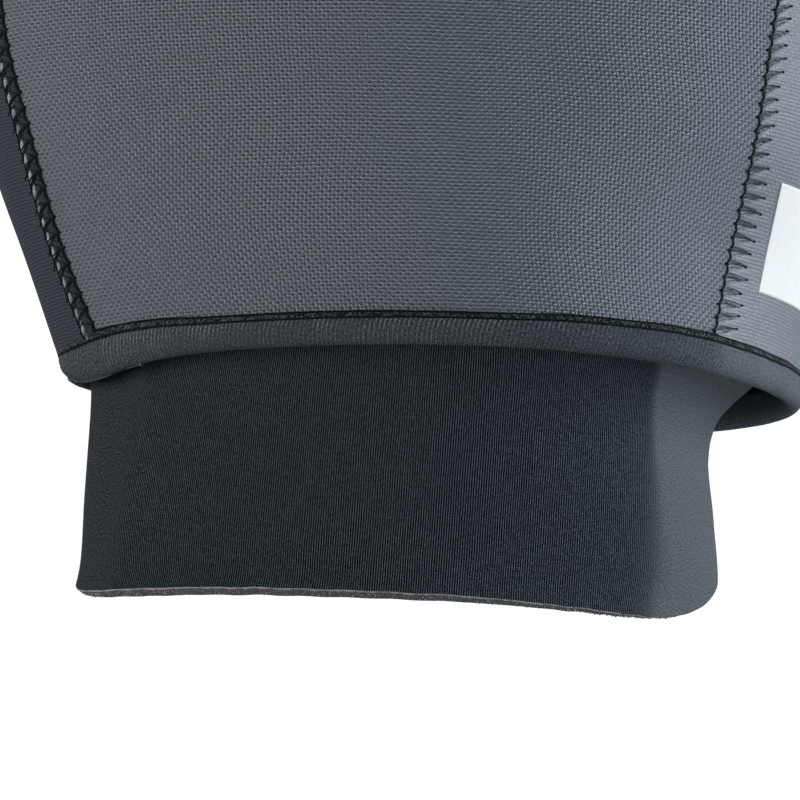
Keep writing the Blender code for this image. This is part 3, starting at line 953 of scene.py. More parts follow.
@dataclass
class Panel:
    """One of the shell's four panels, from seam to seam and from the hem to the ridge."""

    node: str
    start: Seam
    end: Seam
    turn: float = 0.0
    columns: int = 120
    rows: int = 260
    bottom: float = 0.0016
    top_level: float = 2.0
    gathered: bool = False
    finish: str = "skin"
    slot: str = "embossed_neoprene"
    samples: int = 1200
    squeeze: float = 0.11
    even_part: Ends = (0.07, 0.93)
    fine_columns: int = 13
    swell: float = 0.00018
    roll_depth: float = 0.00018
    roll_width: float = 0.0006
    pucker: float = 0.00026
    pucker_reach: float = 0.0050
    stitch_pitch: float = LEG_PITCH

    def grid(self) -> ClothGrid:
        """Lays the panel on the shell, with its edges rolled into the seams.

        Returns:
            The panel's points and maps.
        """
        fine = np.linspace(SHELL.hem_level(self.bottom), self.top_level, self.samples)
        start, end = self.start.angle(fine), self.end.angle(fine) + self.turn
        lengths = run_of(SHELL.points((start + end) / 2, fine), 0)
        up = np.interp(np.linspace(0, lengths[-1], self.rows), lengths, fine)
        share = self.spread()
        low, high = self.start.angle(up)[:, None], (self.end.angle(up) + self.turn)[:, None]
        angle = low + (high - low) * share
        level = np.broadcast_to(up[:, None], angle.shape)
        base = SHELL.points(angle, level)
        run = run_of(base, 1)
        middle = np.argmin(np.abs(share - 0.5))
        from_start, from_end = run, run[:, -1:] - run
        v = np.broadcast_to(np.linspace(0, lengths[-1], self.rows)[:, None], run.shape)
        levels, seam_lengths = SeamPath(self.start).ruler()
        stitched = np.broadcast_to(np.interp(up, levels, seam_lengths)[:, None], run.shape)
        fade = ease(0.0, 0.012, run[:, -1:])
        lift = self.relief(from_start, from_end, v, stitched) * fade
        points = base + SHELL.outward(angle, level) * lift[..., None]
        nearest = np.minimum(from_start, from_end)
        closeness = np.clip(1 - nearest / (SEAM_REACH * leg_reach(stitched)), 0, 1) * fade
        rising = stitched - leg_lean(stitched) * nearest
        tuft = (closeness, rising / MM) if self.gathered else None
        return ClothGrid(points, (run - run[:, middle, None]) / MM, v / MM, tuft=tuft)

    def spread(self) -> Array:
        """Returns the columns' shares of the way across, which lie close together at the seams."""
        even = np.linspace(0, 1, self.columns)
        if not self.gathered:
            return even - self.squeeze * np.sin(TAU * even)
        edge = np.linspace(0, self.even_part[0], self.fine_columns)
        between = np.linspace(*self.even_part, self.columns)[1:-1]
        return np.concatenate((edge, between, 1 - edge[::-1]))

    def relief(self, from_start: Array, from_end: Array, up: Array, stitched: Array) -> Array:
        """How far the cloth stands from the shell's surface.

        Args:
            from_start: Distances from the seam where the columns start.
            from_end: Distances from the seam where they end.
            up: Distances up from the hem.
            stitched: Lengths along the seams' own stitching.

        Returns:
            The lift in metres.
        """
        swell = waves(from_start, up, 0.045, seed=len(self.node)) * self.swell
        lift = swell * ease(0.003, 0.015, np.minimum(from_start, from_end))
        for distance in (from_start, from_end):
            lift -= self.roll_depth * np.exp(-((distance / self.roll_width) ** 2))
            if self.gathered:
                reach = np.exp(-((distance / (self.pucker_reach * leg_reach(stitched))) ** 3))
                rising = stitched - leg_lean(stitched) * distance
                crease = (0.5 + 0.5 * np.cos(TAU * rising / self.stitch_pitch)) ** 2
                lift += self.pucker * reach * (0.5 - 1.2 * crease)
            elif self.node != "front_panel":
                soft = waves(distance * 0.4, up, 0.0034, seed=9)
                lift += 0.00009 * np.exp(-distance / 0.004) * soft
        return lift

    def build(self) -> Object:
        """Makes the panel and stands it in for its solid.

        Returns:
            The panel.
        """
        cloth = self.grid()
        materials = (finish(name) for name in (self.finish, "lining", "foam"))
        piece = to_object(self.node + "_cloth", cloth.mesh(), *materials)
        add_wall(piece, SHELL.wall, 1, 2)
        return stand_in(piece, self.node, self.slot, cloth)


@dataclass
class BarHole:
    """The oval opening that the handlebar comes in through, and the tape folded over its edge."""

    width: float = 0.046
    height: float = 0.052
    tape_width: float = 0.0074
    tape_wall: float = 0.0008
    tape_stand: float = 0.0014
    leg_share: float = 0.38
    fold_reach: float = 0.0022
    edge_press: float = 0.0006
    pressed_share: float = 0.05
    halvings: int = 30
    columns: int = 150
    rows: int = 26

    def side_angles(self, across: Array, level: Array) -> Array:
        """The angles at which the left side panel has given Y values, found by halving.

        Args:
            across: The Y values.
            level: The levels to find them at.

        Returns:
            The angles.
        """
        low, high = np.full(across.shape, -math.pi / 2), np.full(across.shape, math.pi / 2)
        for _ in range(self.halvings):
            middle = (low + high) / 2
            beyond = SHELL.points(middle, level)[..., 1] > across
            low, high = np.where(beyond, middle, low), np.where(beyond, high, middle)
        return low

    def cut(self, panel: Object) -> None:
        """Opens the panel's mesh along the oval.

        Args:
            panel: The left side panel.
        """
        mesh = bmesh.new()
        mesh.from_mesh(panel.data)
        half_width, half_height = self.width / 2, self.height / 2
        centres = ((face, face.calc_center_median()) for face in mesh.faces)
        inside = [
            face for face, centre in centres
            if (centre.y / half_width) ** 2 + (centre.z / half_height) ** 2 < 1 and centre.x < 0
        ]
        bmesh.ops.delete(mesh, geom=inside, context="FACES")
        for vert in mesh.verts:
            if not vert.is_boundary or vert.co.x > 0:
                continue
            size = math.hypot(vert.co.y / half_width, vert.co.z / half_height)
            if 0.8 < size < 1.3:
                vert.co.y /= size
                vert.co.z /= size
        mesh.to_mesh(panel.data)
        mesh.free()

    def build(self) -> Object:
        """Makes the folded tape round the opening.

        Returns:
            The collar.
        """
        turn = np.linspace(0, TAU, self.columns)
        share = np.linspace(0, 1, self.rows)
        side = self.leg_share
        fold = np.clip((share - side) / (1 - 2 * side), 0, 1) * math.pi
        beyond = self.tape_width * np.maximum(1 - np.minimum(share, 1 - share) / side, 0)
        middle, half = -SHELL.wall / 2, SHELL.wall / 2 + self.tape_stand
        beyond = beyond - np.sin(fold) * self.fold_reach
        lift = middle + half * np.cos(fold)
        lift = lift - self.edge_press * np.exp(-(share / self.pressed_share) ** 2)
        lift = lift + self.edge_press * np.exp(-((1 - share) / self.pressed_share) ** 2)
        across = (self.width / 2 + beyond[:, None]) * np.cos(turn)[None]
        up = (self.height / 2 + beyond[:, None]) * np.sin(turn)[None]
        rise = up + SHELL.bar_above_hem
        over = np.arcsin(np.clip((rise - SHELL.hand_rise) / SHELL.crown_rise, 0, 1)) / (math.pi / 2)
        level = np.where(rise > SHELL.hand_rise, 1 + over, rise / SHELL.hand_rise)
        angle = self.side_angles(across, level)
        points = SHELL.off(angle, level, lift[:, None])
        run, down = run_of(points, 1), run_of(points, 0)
        return folded_tape("bar_collar", ClothGrid(points, run / MM, down / MM), self.tape_wall)


@dataclass
class HemBinding:
    """The edging tape folded over the shell's hem, with a strip between two threads along its edge."""

    height: float = 0.0077
    wall: float = 0.0009
    stand: float = 0.0011
    strip: float = 0.0018
    groove: float = 0.00030
    groove_width: float = 0.00022
    leg_share: float = 0.30
    fold: float = 0.0036
    belly: float = 0.00035
    edge_press: float = 0.0007
    edge_width: float = 0.0005
    lump: float = 0.0005
    left_tuck: float = 0.0012
    fold_depth: float = 0.0005
    fold_pitch: float = 0.0056
    swell: float = 0.00018
    ripple: float = 0.00004
    low: float = 0.0007
    end_dip: float = 0.0030
    top_rows: Table = (
        (-90, 0.0077), (-30, 0.0068), (0, 0.0062), (14, 0.0070), (29, 0.0087), (40, 0.0088), (49, 0.0081),
        (60, 0.0078), (90, 0.0077), (102, 0.0083), (115, 0.0087), (122, 0.0091), (132, 0.0091),
        (150, 0.0085), (180, 0.0081), (215, 0.0077), (270, 0.0077),
    )
    columns: int = 760
    rows: int = 44

    def profile(self) -> tuple[Array, Array]:
        """The tape's outer face in section, from its outer edge over the fold to its inner edge.

        Returns:
            The distances outward from the shell, and the heights above the hem's plane.
        """
        share = np.linspace(0, 1, self.rows)
        middle, half = -SHELL.wall / 2, SHELL.wall / 2 + self.stand
        leg = self.leg_share
        turn = np.clip((share - leg) / (1 - 2 * leg), 0, 1) * math.pi
        height = mix(self.height, self.fold, np.minimum(share, 1 - share) / leg)
        height = np.where((turn > 0) & (turn < math.pi), self.fold * (1 - np.sin(turn)), height)
        outer_side = np.sign(np.cos(turn))
        belly = np.sin(np.clip(height / self.height, 0, 1) * math.pi) * self.belly
        edge = np.exp(-((self.height - height) / self.edge_width) ** 2) * self.edge_press
        out = middle + half * np.cos(turn) + (belly - edge) * outer_side
        line = np.exp(-((self.height - self.strip - height) / self.groove_width) ** 2)
        return out - self.groove * line * (share < 0.5), height

    def grid(self) -> ClothGrid:
        """Lays the tape round the hem.

        Returns:
            The tape's points and map.
        """
        out, height = self.profile()
        angle = np.linspace(-math.pi / 2, 3 * math.pi / 2, self.columns)[None]
        top = read_table(self.top_rows, np.degrees(angle))[0]
        level = SHELL.hem_level(height[:, None] * top / self.height)
        angle, level = np.broadcast_arrays(angle, level)
        run = run_of(SHELL.points(angle, level), 1)[0]
        swell = waves(run, 0 * run, 0.02, seed=3) * self.swell
        swell = swell + waves(run, 0 * run, 0.004, seed=4) * self.ripple
        lift = out[:, None] + swell * np.sign(out[:, None] + SHELL.wall / 2)
        lift = lift + self.seam_lumps(angle, height)
        lift = lift - self.left_tuck * np.exp(-((angle / 0.5) ** 2)) * (out[:, None] > -SHELL.wall / 2)
        around = (angle + math.pi) % TAU - math.pi
        behind = ease(-0.4, -0.8, np.sin(around)) * ease(-0.1, -0.5, np.cos(around))
        folds = np.cos(TAU * run / self.fold_pitch + 0.9 * waves(run, 0 * run, 0.03, seed=6))
        lift = lift - behind * (out[:, None] < -SHELL.wall) * (0.0004 + self.fold_depth * folds)
        points = SHELL.off(angle, level, lift)
        dip = self.low + self.end_dip * np.exp(-(((angle - 0.34) / 0.24) ** 2))
        points[..., 2] -= dip * (1 - height / self.height)[:, None]
        down = np.broadcast_to(run_of(np.stack((out, height), axis=-1), 0)[:, None], angle.shape)
        inside = ease(-SHELL.wall * 0.6, -SHELL.wall, out[:, None])
        toward_left, toward_front = np.cos(around), np.sin(around)
        # Painted shade on the tape's inner face at the back right, and painted light on its inner face at
        # the left end, passed on in the "shade" number.
        darker = ease(-0.2, -0.7, toward_front) * ease(0.2, -0.3, toward_left)
        shade = inside * (darker - 2 * ease(0.5, 0.9, toward_left))
        return ClothGrid(points, np.broadcast_to(run, angle.shape) / MM, down / MM, {"shade": shade})

    def seam_lumps(self, angle: Array, height: Array) -> Array:
        """Returns how far the tape is pushed out where it passes over the four seams."""
        lumps = np.zeros(angle.shape)
        for seam in Seam:
            gap = (angle - float(seam.angle(np.array(0.0))) + math.pi) % TAU - math.pi
            bulge = self.lump * np.exp(-((gap * 0.09 / 0.004) ** 2))
            lumps += bulge * ease(0.0015, 0.005, height)[:, None]
        return lumps

    def build(self) -> Object:
        """Returns the binding, made and put in the place of its solid."""
        return folded_tape("hem_binding", self.grid(), self.wall)


@dataclass
class InnerCuff:
    """The knitted sleeve that closes round the wrist: a flat tube that leaves the shell above its hem."""

    clearance: float = 0.0007
    top: float = 0.021
    length: float = 0.061
    left: float = 0.086
    right: float = 0.070
    front: float = 0.044
    back: float = 0.021
    edge_rise: float = 0.015
    waist: float = -0.3
    samples: int = 4001
    flare_height: float = 0.008
    cut_bulge: float = 0.00025
    crumble: float = 0.00012
    wale_centre: float = 0.19
    ribbed_right: float = 0.0615
    ribbed_left: float = 0.079
    columns: int = 480
    outer_rows: int = 140
    inner_rows: int = 60
    cut_rows: int = 7
    wale_lean: float = 0.04
    crumb_count: int = 650
    crumb_radius: float = 0.00016
    tube_rows: Table = (
        (0.00, 0.996, 0.986, 1.16, 0.75, 0.14, 0.20, 0.28, 1.75, 1.30),
        (0.25, 1.004, 0.990, 1.07, 0.88, 0.10, 0.15, 0.26, 1.65, 1.25),
        (0.50, 1.008, 1.022, 0.99, 0.95, 0.07, 0.10, 0.24, 1.55, 1.20),
        (0.80, 1.011, 1.040, 0.92, 1.00, 0.04, 0.05, 0.22, 1.50, 1.15),
        (1.00, 1.033, 0.982, 0.97, 1.05, 0.02, 0.02, 0.20, 1.50, 1.15),
    )
    neck_rows: Table = (
        (-0.0160, 1.00), (-0.0098, 0.97), (-0.0043, 0.88), (0.0000, 0.70), (0.0052, 0.42), (0.0105, 0.18),
        (0.0160, 0.04), (0.0210, 0.00),
    )
    edge_rows: Table = (
        (0, 0.47), (12, 0.285), (28, 0.185), (57, 0.085), (74, 0.03), (95, 0.00), (132, 0.00), (146, 0.07),
        (156, 0.21), (166, 0.48), (180, 0.98), (205, 1.05), (270, 1.00), (335, 0.80), (360, 0.47),
    )

    def tube(self, drop: Array) -> Section:
        """Returns the tube's sections at shares of the way from the hem's plane to the cut edge."""
        left, right, front, back, peak, left_end, right_end, *rounding = read_table(self.tube_rows, drop)
        middle = peak * self.left
        width = (left * self.left + middle, right * self.right - middle)
        depth = (front * self.front, back * self.back)
        return Section(middle, *width, *depth, left_end * self.back, right_end * self.back, *rounding)

    def face(self, angle: Array, above_hem: Array) -> Array:
        """Points of the cuff's outer face, before its cut edge flares.

        Args:
            angle: The angle of each point.
            above_hem: The height of each point over the hem's plane.

        Returns:
            The points.
        """
        held = np.clip(above_hem, self.neck_rows[0][0], self.neck_rows[-1][0])
        share = np.clip(read_table(self.neck_rows, held)[0], 0, 1)
        level = SHELL.hem_level(np.maximum(above_hem, 0))
        on_shell = SHELL.off(angle, level, -SHELL.wall - self.clearance)
        drop = np.clip(-above_hem / self.length, 0, 1)
        in_tube = self.tube(drop).points(angle, np.zeros_like(above_hem))
        points = mix(on_shell, in_tube, share[..., None])
        points[..., 2] = above_hem - SHELL.bar_above_hem
        return points

    def outward(self, face: Array) -> Array:
        """Returns the outward directions of a face whose rows close in rings."""
        around = np.roll(face[:, :-1], -1, axis=1) - np.roll(face[:, :-1], 1, axis=1)
        around = np.concatenate((around, around[:, :1]), axis=1)
        return unit(np.cross(around, -np.gradient(face, axis=0)))

    def flare(self, angle: Array, to_edge: Array) -> Array:
        """Returns how far the last millimetres of the wall lean out, most at the left of the front."""
        degrees = np.degrees(angle) % 360
        places = (0, 12, 35, 90, 140, 170, 200, 270, 330, 360)
        most = np.interp(degrees, places, (0.2, 0.8, 1.6, 1.1, 0.4, 0.1, 0.3, 0.6, 0.5, 0.2))
        return most * MM * np.clip(1 - to_edge / self.flare_height, 0, 1) ** 2

    def grid(self) -> ClothGrid:
        """Lays the cuff down its outer face, across its cut edge and up its inner face.

        Returns:
            The cuff's points, map and numbers.
        """
        angle = np.linspace(-math.pi / 2, 3 * math.pi / 2, self.samples)
        waist = run_of(self.face(angle, np.full(angle.shape, self.waist * self.length)), 0)
        angle = np.interp(np.linspace(0, waist[-1], self.columns), waist, angle)
        rise = read_table(self.edge_rows, np.degrees(angle) % 360)[0]
        edge = self.edge_rise * rise - self.length
        edge = edge + waves(angle * 70, 0 * angle, 9.0, seed=12) * self.crumble
        edge[-1] = edge[0]
        down = np.linspace(0, 1, self.outer_rows)[:, None]
        heights = mix(self.top, edge[None], down)
        angles = np.broadcast_to(angle, heights.shape)
        outer = self.face(angles, heights)
        outward = self.outward(outer)
        v = run_of(outer, 0)
        to_edge = v[-1:] - v
        u = self.wale_places(outer, angle)
        swell = waves(outer[..., 0] + outer[..., 1], outer[..., 2], 0.05, seed=21)
        lift = self.flare(angles, to_edge) + swell * 0.00025 * ease(0, 0.03, v)
        outer = outer + outward * lift[..., None]
        outward = self.outward(outer)
        across = np.linspace(0, 1, self.cut_rows)[1:-1, None, None]
        last = outer[-1] / MM
        crumb = waves(last[:, 0], last[:, 1], 0.9, seed=30)[None, :, None] * self.crumble
        bulge = np.array((0.0, 0.0, -1.0)) * (np.sin(across * math.pi) * self.cut_bulge + crumb)
        cut = outer[-1:] - outward[-1:] * SHELL.wall * across + bulge
        pick = np.linspace(self.outer_rows - 1, 0, self.inner_rows).round().astype(int)
        inner = outer[pick] - outward[pick] * SHELL.wall
        points = np.concatenate((outer, cut, inner, outer[:1]))
        before, behind = np.full((self.outer_rows, 1), -1.0), np.full((self.inner_rows, 1), 1.0)
        depth = np.concatenate((before, across[..., 0], behind, before[:1]))
        depth = np.repeat(depth, self.columns, axis=1)
        all_v = np.concatenate((v, v[-1:] + across[..., 0] * SHELL.wall, v[pick] + 0.2, v[:1] + 0.2))
        all_u = np.concatenate((u, np.repeat(u[-1:], self.cut_rows - 2, axis=0), u[pick], u[:1]))
        smooth, light = self.fade(all_u, all_v)
        numbers = {"depth": depth, "smooth": smooth, "light": light}
        return ClothGrid(points, all_u / MM, all_v / MM, numbers)

    def wale_places(self, outer: Array, angle: Array) -> Array:
        """Distances round the cuff from a leaning line down the middle of its front.

        Args:
            outer: The outer face's points.
            angle: The columns' angles.

        Returns:
            The distance of each point.
        """
        run = run_of(outer, 1)
        front = (angle > 0.5) & (angle < 2.6)
        line = self.wale_lean * (outer[:, 0, 2] + self.wale_centre)
        centre = [np.interp(line[row], outer[row, front, 0], run[row, front]) for row in range(len(outer))]
        return run - np.array(centre)[:, None]

    def fade(self, u: Array, v: Array) -> tuple[Array, Array]:
        """Where the wales fade into an even cloth, and where painted light brightens that cloth.

        Args:
            u: Distances round the cuff from the middle of its front.
            v: Distances down it.

        Returns:
            The two numbers, from 0 to 1.
        """
        soft = mix(0.0026, 0.0085, ease(0.030, 0.075, v))
        past = u - self.ribbed_right
        smooth = ease(self.ribbed_left, 0.091, -u) + ease(0.0, 1.0, past / soft + 0.5)
        # Painted light on the cuff's right side, where it turns toward the right lamps.
        light = ease(0.0, 1.0, (past + 0.0004) / (2 * soft) + 0.5) * ease(0.20, 0.12, u)
        return np.clip(smooth, 0, 1), np.clip(light, 0, 1)

    def build(self) -> Object:
        """Makes the cuff and stands it in for its solid.

        Returns:
            The cuff.
        """
        cloth = self.grid()
        mesh = cloth.mesh()
        depth = mesh.verts.layers.float["depth"]
        for face in mesh.faces:
            depths = [vert[depth] for vert in face.verts]
            if min(depths) > 0.99:
                face.material_index = 2
            elif max(depths) > 0:
                face.material_index = 1
        for vert in mesh.verts:
            vert[depth] = max(vert[depth], 0.0)
        bmesh.ops.reverse_faces(mesh, faces=mesh.faces)
        piece = to_object("inner_cuff_sleeve", mesh, finish("ribs"), finish("foam"), finish("lining"))
        points, u, v = (values[:self.outer_rows] for values in (cloth.points, cloth.u, cloth.v))
        level_u = (u - u[:, :1]) / np.ptp(u, axis=1, keepdims=True) * np.ptp(u, axis=1).mean()
        return stand_in(piece, "inner_cuff", "ribbed_neoprene", ClothGrid(points, level_u, v))

    def crumbs(self) -> Object:
        """Makes the crumbs of foam that stand from the cut edge.

        Returns:
            The crumbs.
        """
        chance = np.random.default_rng(31)
        cloth = self.grid()
        row = self.outer_rows + chance.integers(1, self.cut_rows - 2, self.crumb_count)
        column = chance.integers(0, self.columns - 1, self.crumb_count)
        share = chance.uniform(0, 1, (self.crumb_count, 1))
        places = mix(cloth.points[row, column], cloth.points[row, column + 1], share)
        places = places - np.array((0.0, 0.0, 0.00008))
        directions = chance.normal(0, 1, places.shape)
        piece = knots("inner_cuff_crumbs", places, self.crumb_radius, directions, finish("foam"))
        return attach(piece)[0]


@dataclass
class Label:
    """The bare film patch on the right side panel, a little behind the front seam."""

    bottom: float = 0.0222
    height: float = 0.0267
    length: float = 0.045
    from_seam: float = 0.0135
    lift: float = 0.00016
    thickness: float = 0.00020
    longest_turn: float = 1.6
    columns: int = 70
    rows: int = 40

    def build(self) -> Object:
        """Makes the label and stands it in for its solid.

        Returns:
            The label.
        """
        turns = np.linspace(0, self.longest_turn, 2000)
        middle = np.full(turns.shape, SHELL.hem_level(self.bottom + self.height / 2))
        start = Seam.RIGHT_FRONT.angle(middle[:1])[0]
        lengths = run_of(SHELL.points(start + turns, middle), 0)
        along = np.linspace(self.from_seam, self.from_seam + self.length, self.columns)
        found = np.interp(along, lengths, turns)
        up = np.linspace(self.bottom, self.bottom + self.height, self.rows)
        level = np.broadcast_to(SHELL.hem_level(up)[:, None], (self.rows, self.columns))
        angle = Seam.RIGHT_FRONT.angle(level) + found[None]
        points = SHELL.off(angle, level, self.lift)
        u, v = np.broadcast_arrays(along[None], up[:, None])
        piece = to_object("label_patch_film", ClothGrid(points, u / MM, v / MM).mesh(), finish("film"))
        add_wall(piece, self.thickness)
        attach(piece)
        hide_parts("label_patch")
        return piece


@dataclass
class CrossedSeam:
    """A seam sewn with crossing threads over a puffed edge that stands up between them."""

    seam: Seam
    pitch: float = 0.00405
    width: float = 0.0060
    rise: float = 0.0011
    edge_wall: float = 0.0003
    thread: float = 0.00016
    knot: float = 0.00044
    drop: float = 1.1
    columns: int = 15
    rows_a_stitch: int = 9

    def bow(self, share: Array) -> Array:
        """Returns the puffed edge's height at shares of its width, up to 1."""
        return np.sin(math.pi * np.clip(share, 0, 1)) ** 0.7

    def edge_grid(self, path: SeamPath) -> ClothGrid:
        """Lays the puffed edge along the seam.

        Args:
            path: The seam.

        Returns:
            Its points, map and numbers.
        """
        length = path.length()
        rows = int(length / self.pitch * self.rows_a_stitch)
        up, over = np.linspace(0, length, rows), np.linspace(0, self.width, self.columns)
        along, across = np.broadcast_arrays(up[:, None], over[None])
        share = across / self.width
        phase = math.pi * (along / self.pitch + share * self.drop)
        pillow = np.abs(np.sin(phase)) ** 0.6
        uneven = 1 + 0.25 * waves(along, across, 0.011, seed=41)
        bow = self.bow(share)
        lift = bow * self.rise * (0.42 + 0.58 * pillow * uneven) - 0.0003 * (1 - bow)
        # Painted glints on the tops of the puffed edge's pillows.
        pale = ease(0.44, 0.54, share) * ease(0.90, 0.78, share) * pillow ** 3
        pale = pale * np.clip(0.8 + 0.6 * waves(along, across, 0.011, seed=43), 0.15, 1)
        return ClothGrid(path.points(along, across, lift), across / MM, along / MM, {"pale": pale})

    def strand(self, path: SeamPath, along: Ends, share: Ends, lift: float) -> Array:
        """One stretch of thread over the puffed edge.

        Args:
            path: The seam.
            along: The lengths up the seam that it starts and ends at.
            share: The shares of the edge's width that it starts and ends at.
            lift: How high it rides on the edge, as a share of its full rise.

        Returns:
            The stretch's points.
        """
        part = np.linspace(0, 1, 9)
        over = mix(share[0], share[1], part)
        height = self.bow(over) * self.rise * lift + self.thread * 0.7
        return path.points(mix(along[0], along[1], part), over * self.width, height)

    def strands(self, path: SeamPath) -> list[Array]:
        """The threads: scalloped lines along both edges, and two rows that cross from side to side.

        Args:
            path: The seam.

        Returns:
            The points of each strand.
        """
        length = path.length()
        chance = np.random.default_rng(17)
        along = np.arange(0.0, length, self.pitch / 8)
        phase = along / self.pitch % 1
        scallop = np.sin(math.pi * phase) ** 0.8
        front = path.points(along, -0.00035 + 0.0009 * scallop, 0.00018 + 0.0002 * scallop)
        outer_phase = (along / self.pitch + self.drop) % 1
        curl = np.sin(math.pi * outer_phase) ** 0.8
        back = path.points(along, self.width * (1.04 - 0.10 * curl), 0.00012 + 0.0003 * curl)
        strands = [front, back]
        for stitch in np.arange(2 * self.pitch, length, self.pitch):
            low = stitch - (self.drop + chance.uniform(-0.22, 0.22)) * self.pitch
            reach = chance.uniform(0.90, 1.06)
            loose = chance.uniform(0.10, 0.42) * self.pitch
            stretches = (
                ((stitch, low), (-0.05, reach), 0.66),
                ((stitch, low + loose), (0.0, reach * 0.96), 0.86),
                ((low, stitch - 1.7 * self.pitch), (reach, 0.02), 0.62),
                ((low + loose, stitch - 1.1 * self.pitch), (reach * 0.6, 0.05), 0.98),
                ((low + 1.6 * loose, low - 0.2 * self.pitch), (0.35, reach), 1.0),
                ((low, low - 0.40 * self.pitch), (reach * 0.96, reach + 0.26), 0.5),
            )
            strands += [self.strand(path, *stretch) for stretch in stretches]
        return strands

    def build(self) -> list[Object]:
        """Makes the puffed edge, the threads and their knots.

        Returns:
            The pieces.
        """
        path = SeamPath(self.seam)
        name = self.seam.value[0]
        mesh = self.edge_grid(path).mesh()
        bmesh.ops.recalc_face_normals(mesh, faces=mesh.faces)
        edge = to_object(name + "_puffed_edge", mesh, finish("edge"))
        add_wall(edge, self.edge_wall)
        threads = thread_curve(name + "_threads", self.strands(path), self.thread, finish("thread"))
        stitches = np.arange(self.pitch, path.length(), self.pitch)
        places = path.beside(stitches, -0.0004, 0.00030)
        away = places - path.beside(stitches, 0.0008, 0.00030)
        return attach(edge, threads, knots(name + "_knots", places, self.knot, away, finish("thread")))


@dataclass
class LeggedSeam:
    """A seam closed by a looped chain of thread, with fine legs that draw the side panel into creases."""

    seam: Seam
    pitch: float = LEG_PITCH
    leg: float = 0.0051
    chain: float = 0.00012
    fine: float = 0.000062
    knot: float = 0.00042
    foot: float = 0.00034

    def chain_strands(self, path: SeamPath) -> list[Array]:
        """The two strands of the chain, which cross and bow out between its knots.

        Args:
            path: The seam.

        Returns:
            The points of each strand.
        """
        along = np.arange(0.0, path.length(), self.pitch / 12)
        phase = along / self.pitch
        wander = waves(along, 0 * along, 0.012, seed=51) * 0.00010
        wave = wander - 0.00008 - 0.00036 * np.cos(TAU * phase)
        cross = 0.00013 * np.cos(2 * TAU * phase)
        return [
            path.points(along, wave + cross, 0.00012 + 0.00010 * np.sin(2 * TAU * phase)),
            path.points(along, wave - cross, 0.00012 - 0.00010 * np.sin(2 * TAU * phase)),
        ]

    def leg_strands(self, path: SeamPath) -> list[Array]:
        """The fine legs, in threes, that run from the chain onto the side panel.

        Args:
            path: The seam.

        Returns:
            The points of each leg.
        """
        chance = np.random.default_rng(23)
        strands = []
        for stitch in np.arange(self.pitch, path.length() - self.pitch, self.pitch):
            length = self.leg * chance.uniform(0.88, 1.08) * float(leg_reach(stitch))
            tip = stitch + float(leg_lean(stitch)) * length
            for start, reach in ((0.34, 1.0), (0.0, 0.9), (-0.34, 0.72)):
                share = np.linspace(0, 1, 9)
                low = stitch + start * self.pitch
                sway = np.cumsum(chance.normal(0, 0.00005, 9)) + 0.0003 * np.sin(math.pi * share)
                lift = 0.00015 - 0.00010 * np.sin(math.pi * share)
                along = mix(low, tip, share * reach) + sway
                strands.append(path.points(along, length * share * reach, lift))
        return strands

    def build(self) -> list[Object]:
        """Makes the chain, the legs and the knots.

        Returns:
            The pieces.
        """
        path = SeamPath(self.seam)
        name = self.seam.value[0]
        thread = finish("thread")
        legs = self.leg_strands(path)
        stitches = np.arange(self.pitch, path.length(), self.pitch)
        places = path.beside(stitches, -0.00062, 0.00024)
        inward = path.beside(stitches, -0.00145, 0.00010) - places
        ends = np.array([strand[-1] for strand in legs[::3]])
        lines = np.array([strand[-1] - strand[-2] for strand in legs[::3]])
        return attach(
            thread_curve(name + "_chain", self.chain_strands(path), self.chain, thread),
            thread_curve(name + "_legs", legs, self.fine, thread),
            knots(name + "_knots", places, self.knot, inward, thread),
            knots(name + "_feet", ends, self.foot, lines, thread),
        )


@dataclass
class RidgeSeam:
    """The crossed stitches that close the front and back panels along the crown's ridge."""

    pitch: float = 0.0034
    half_width: float = 0.0021
    thread: float = 0.00023

    def build(self) -> Object:
        """Makes the ridge's threads.

        Returns:
            The threads.
        """
        top = SHELL.hand_rise + SHELL.crown_rise - SHELL.bar_above_hem
        reach = SHELL.ridge_half_length - 0.001
        strands = []
        for side in (-1, 1):
            x = np.arange(-reach, reach, self.pitch / 6)
            y = side * (self.half_width - 0.0004 * np.abs(np.sin(math.pi * x / self.pitch)))
            strands.append(np.stack((x, y, np.full_like(x, top + 0.00005)), axis=-1))
        for start in np.arange(-reach, reach - self.pitch, self.pitch):
            share = np.linspace(-1, 1, 8)
            for side in (-1, 1):
                x = start + (share + 1) / 2 * self.pitch
                y = side * share * self.half_width
                z = top + 0.0002 + 0.0004 * (1 - share ** 2)
                strands.append(np.stack((x, y, z), axis=-1))
        return attach(thread_curve("ridge_threads", strands, self.thread, finish("thread")))[0]


@dataclass(frozen=True)
class Softbox:
    """A square lamp that faces the muff."""

    name: str
    place: tuple[float, float, float]
    size: float
    watts: float
    colour: Colour = (1.0, 1.0, 1.0)

    def build(self, aim: Vector) -> Object:
        """Makes the lamp, facing a point."""
        lamp = bpy.data.lights.new(self.name, "AREA")
        lamp.shape = "SQUARE"
        lamp.size = self.size
        lamp.energy = self.watts
        lamp.color = self.colour
        made = link(self.name, lamp)
        made.location = self.place
        made.rotation_euler = (aim - Vector(self.place)).to_track_quat("-Z", "Y").to_euler()
        return made


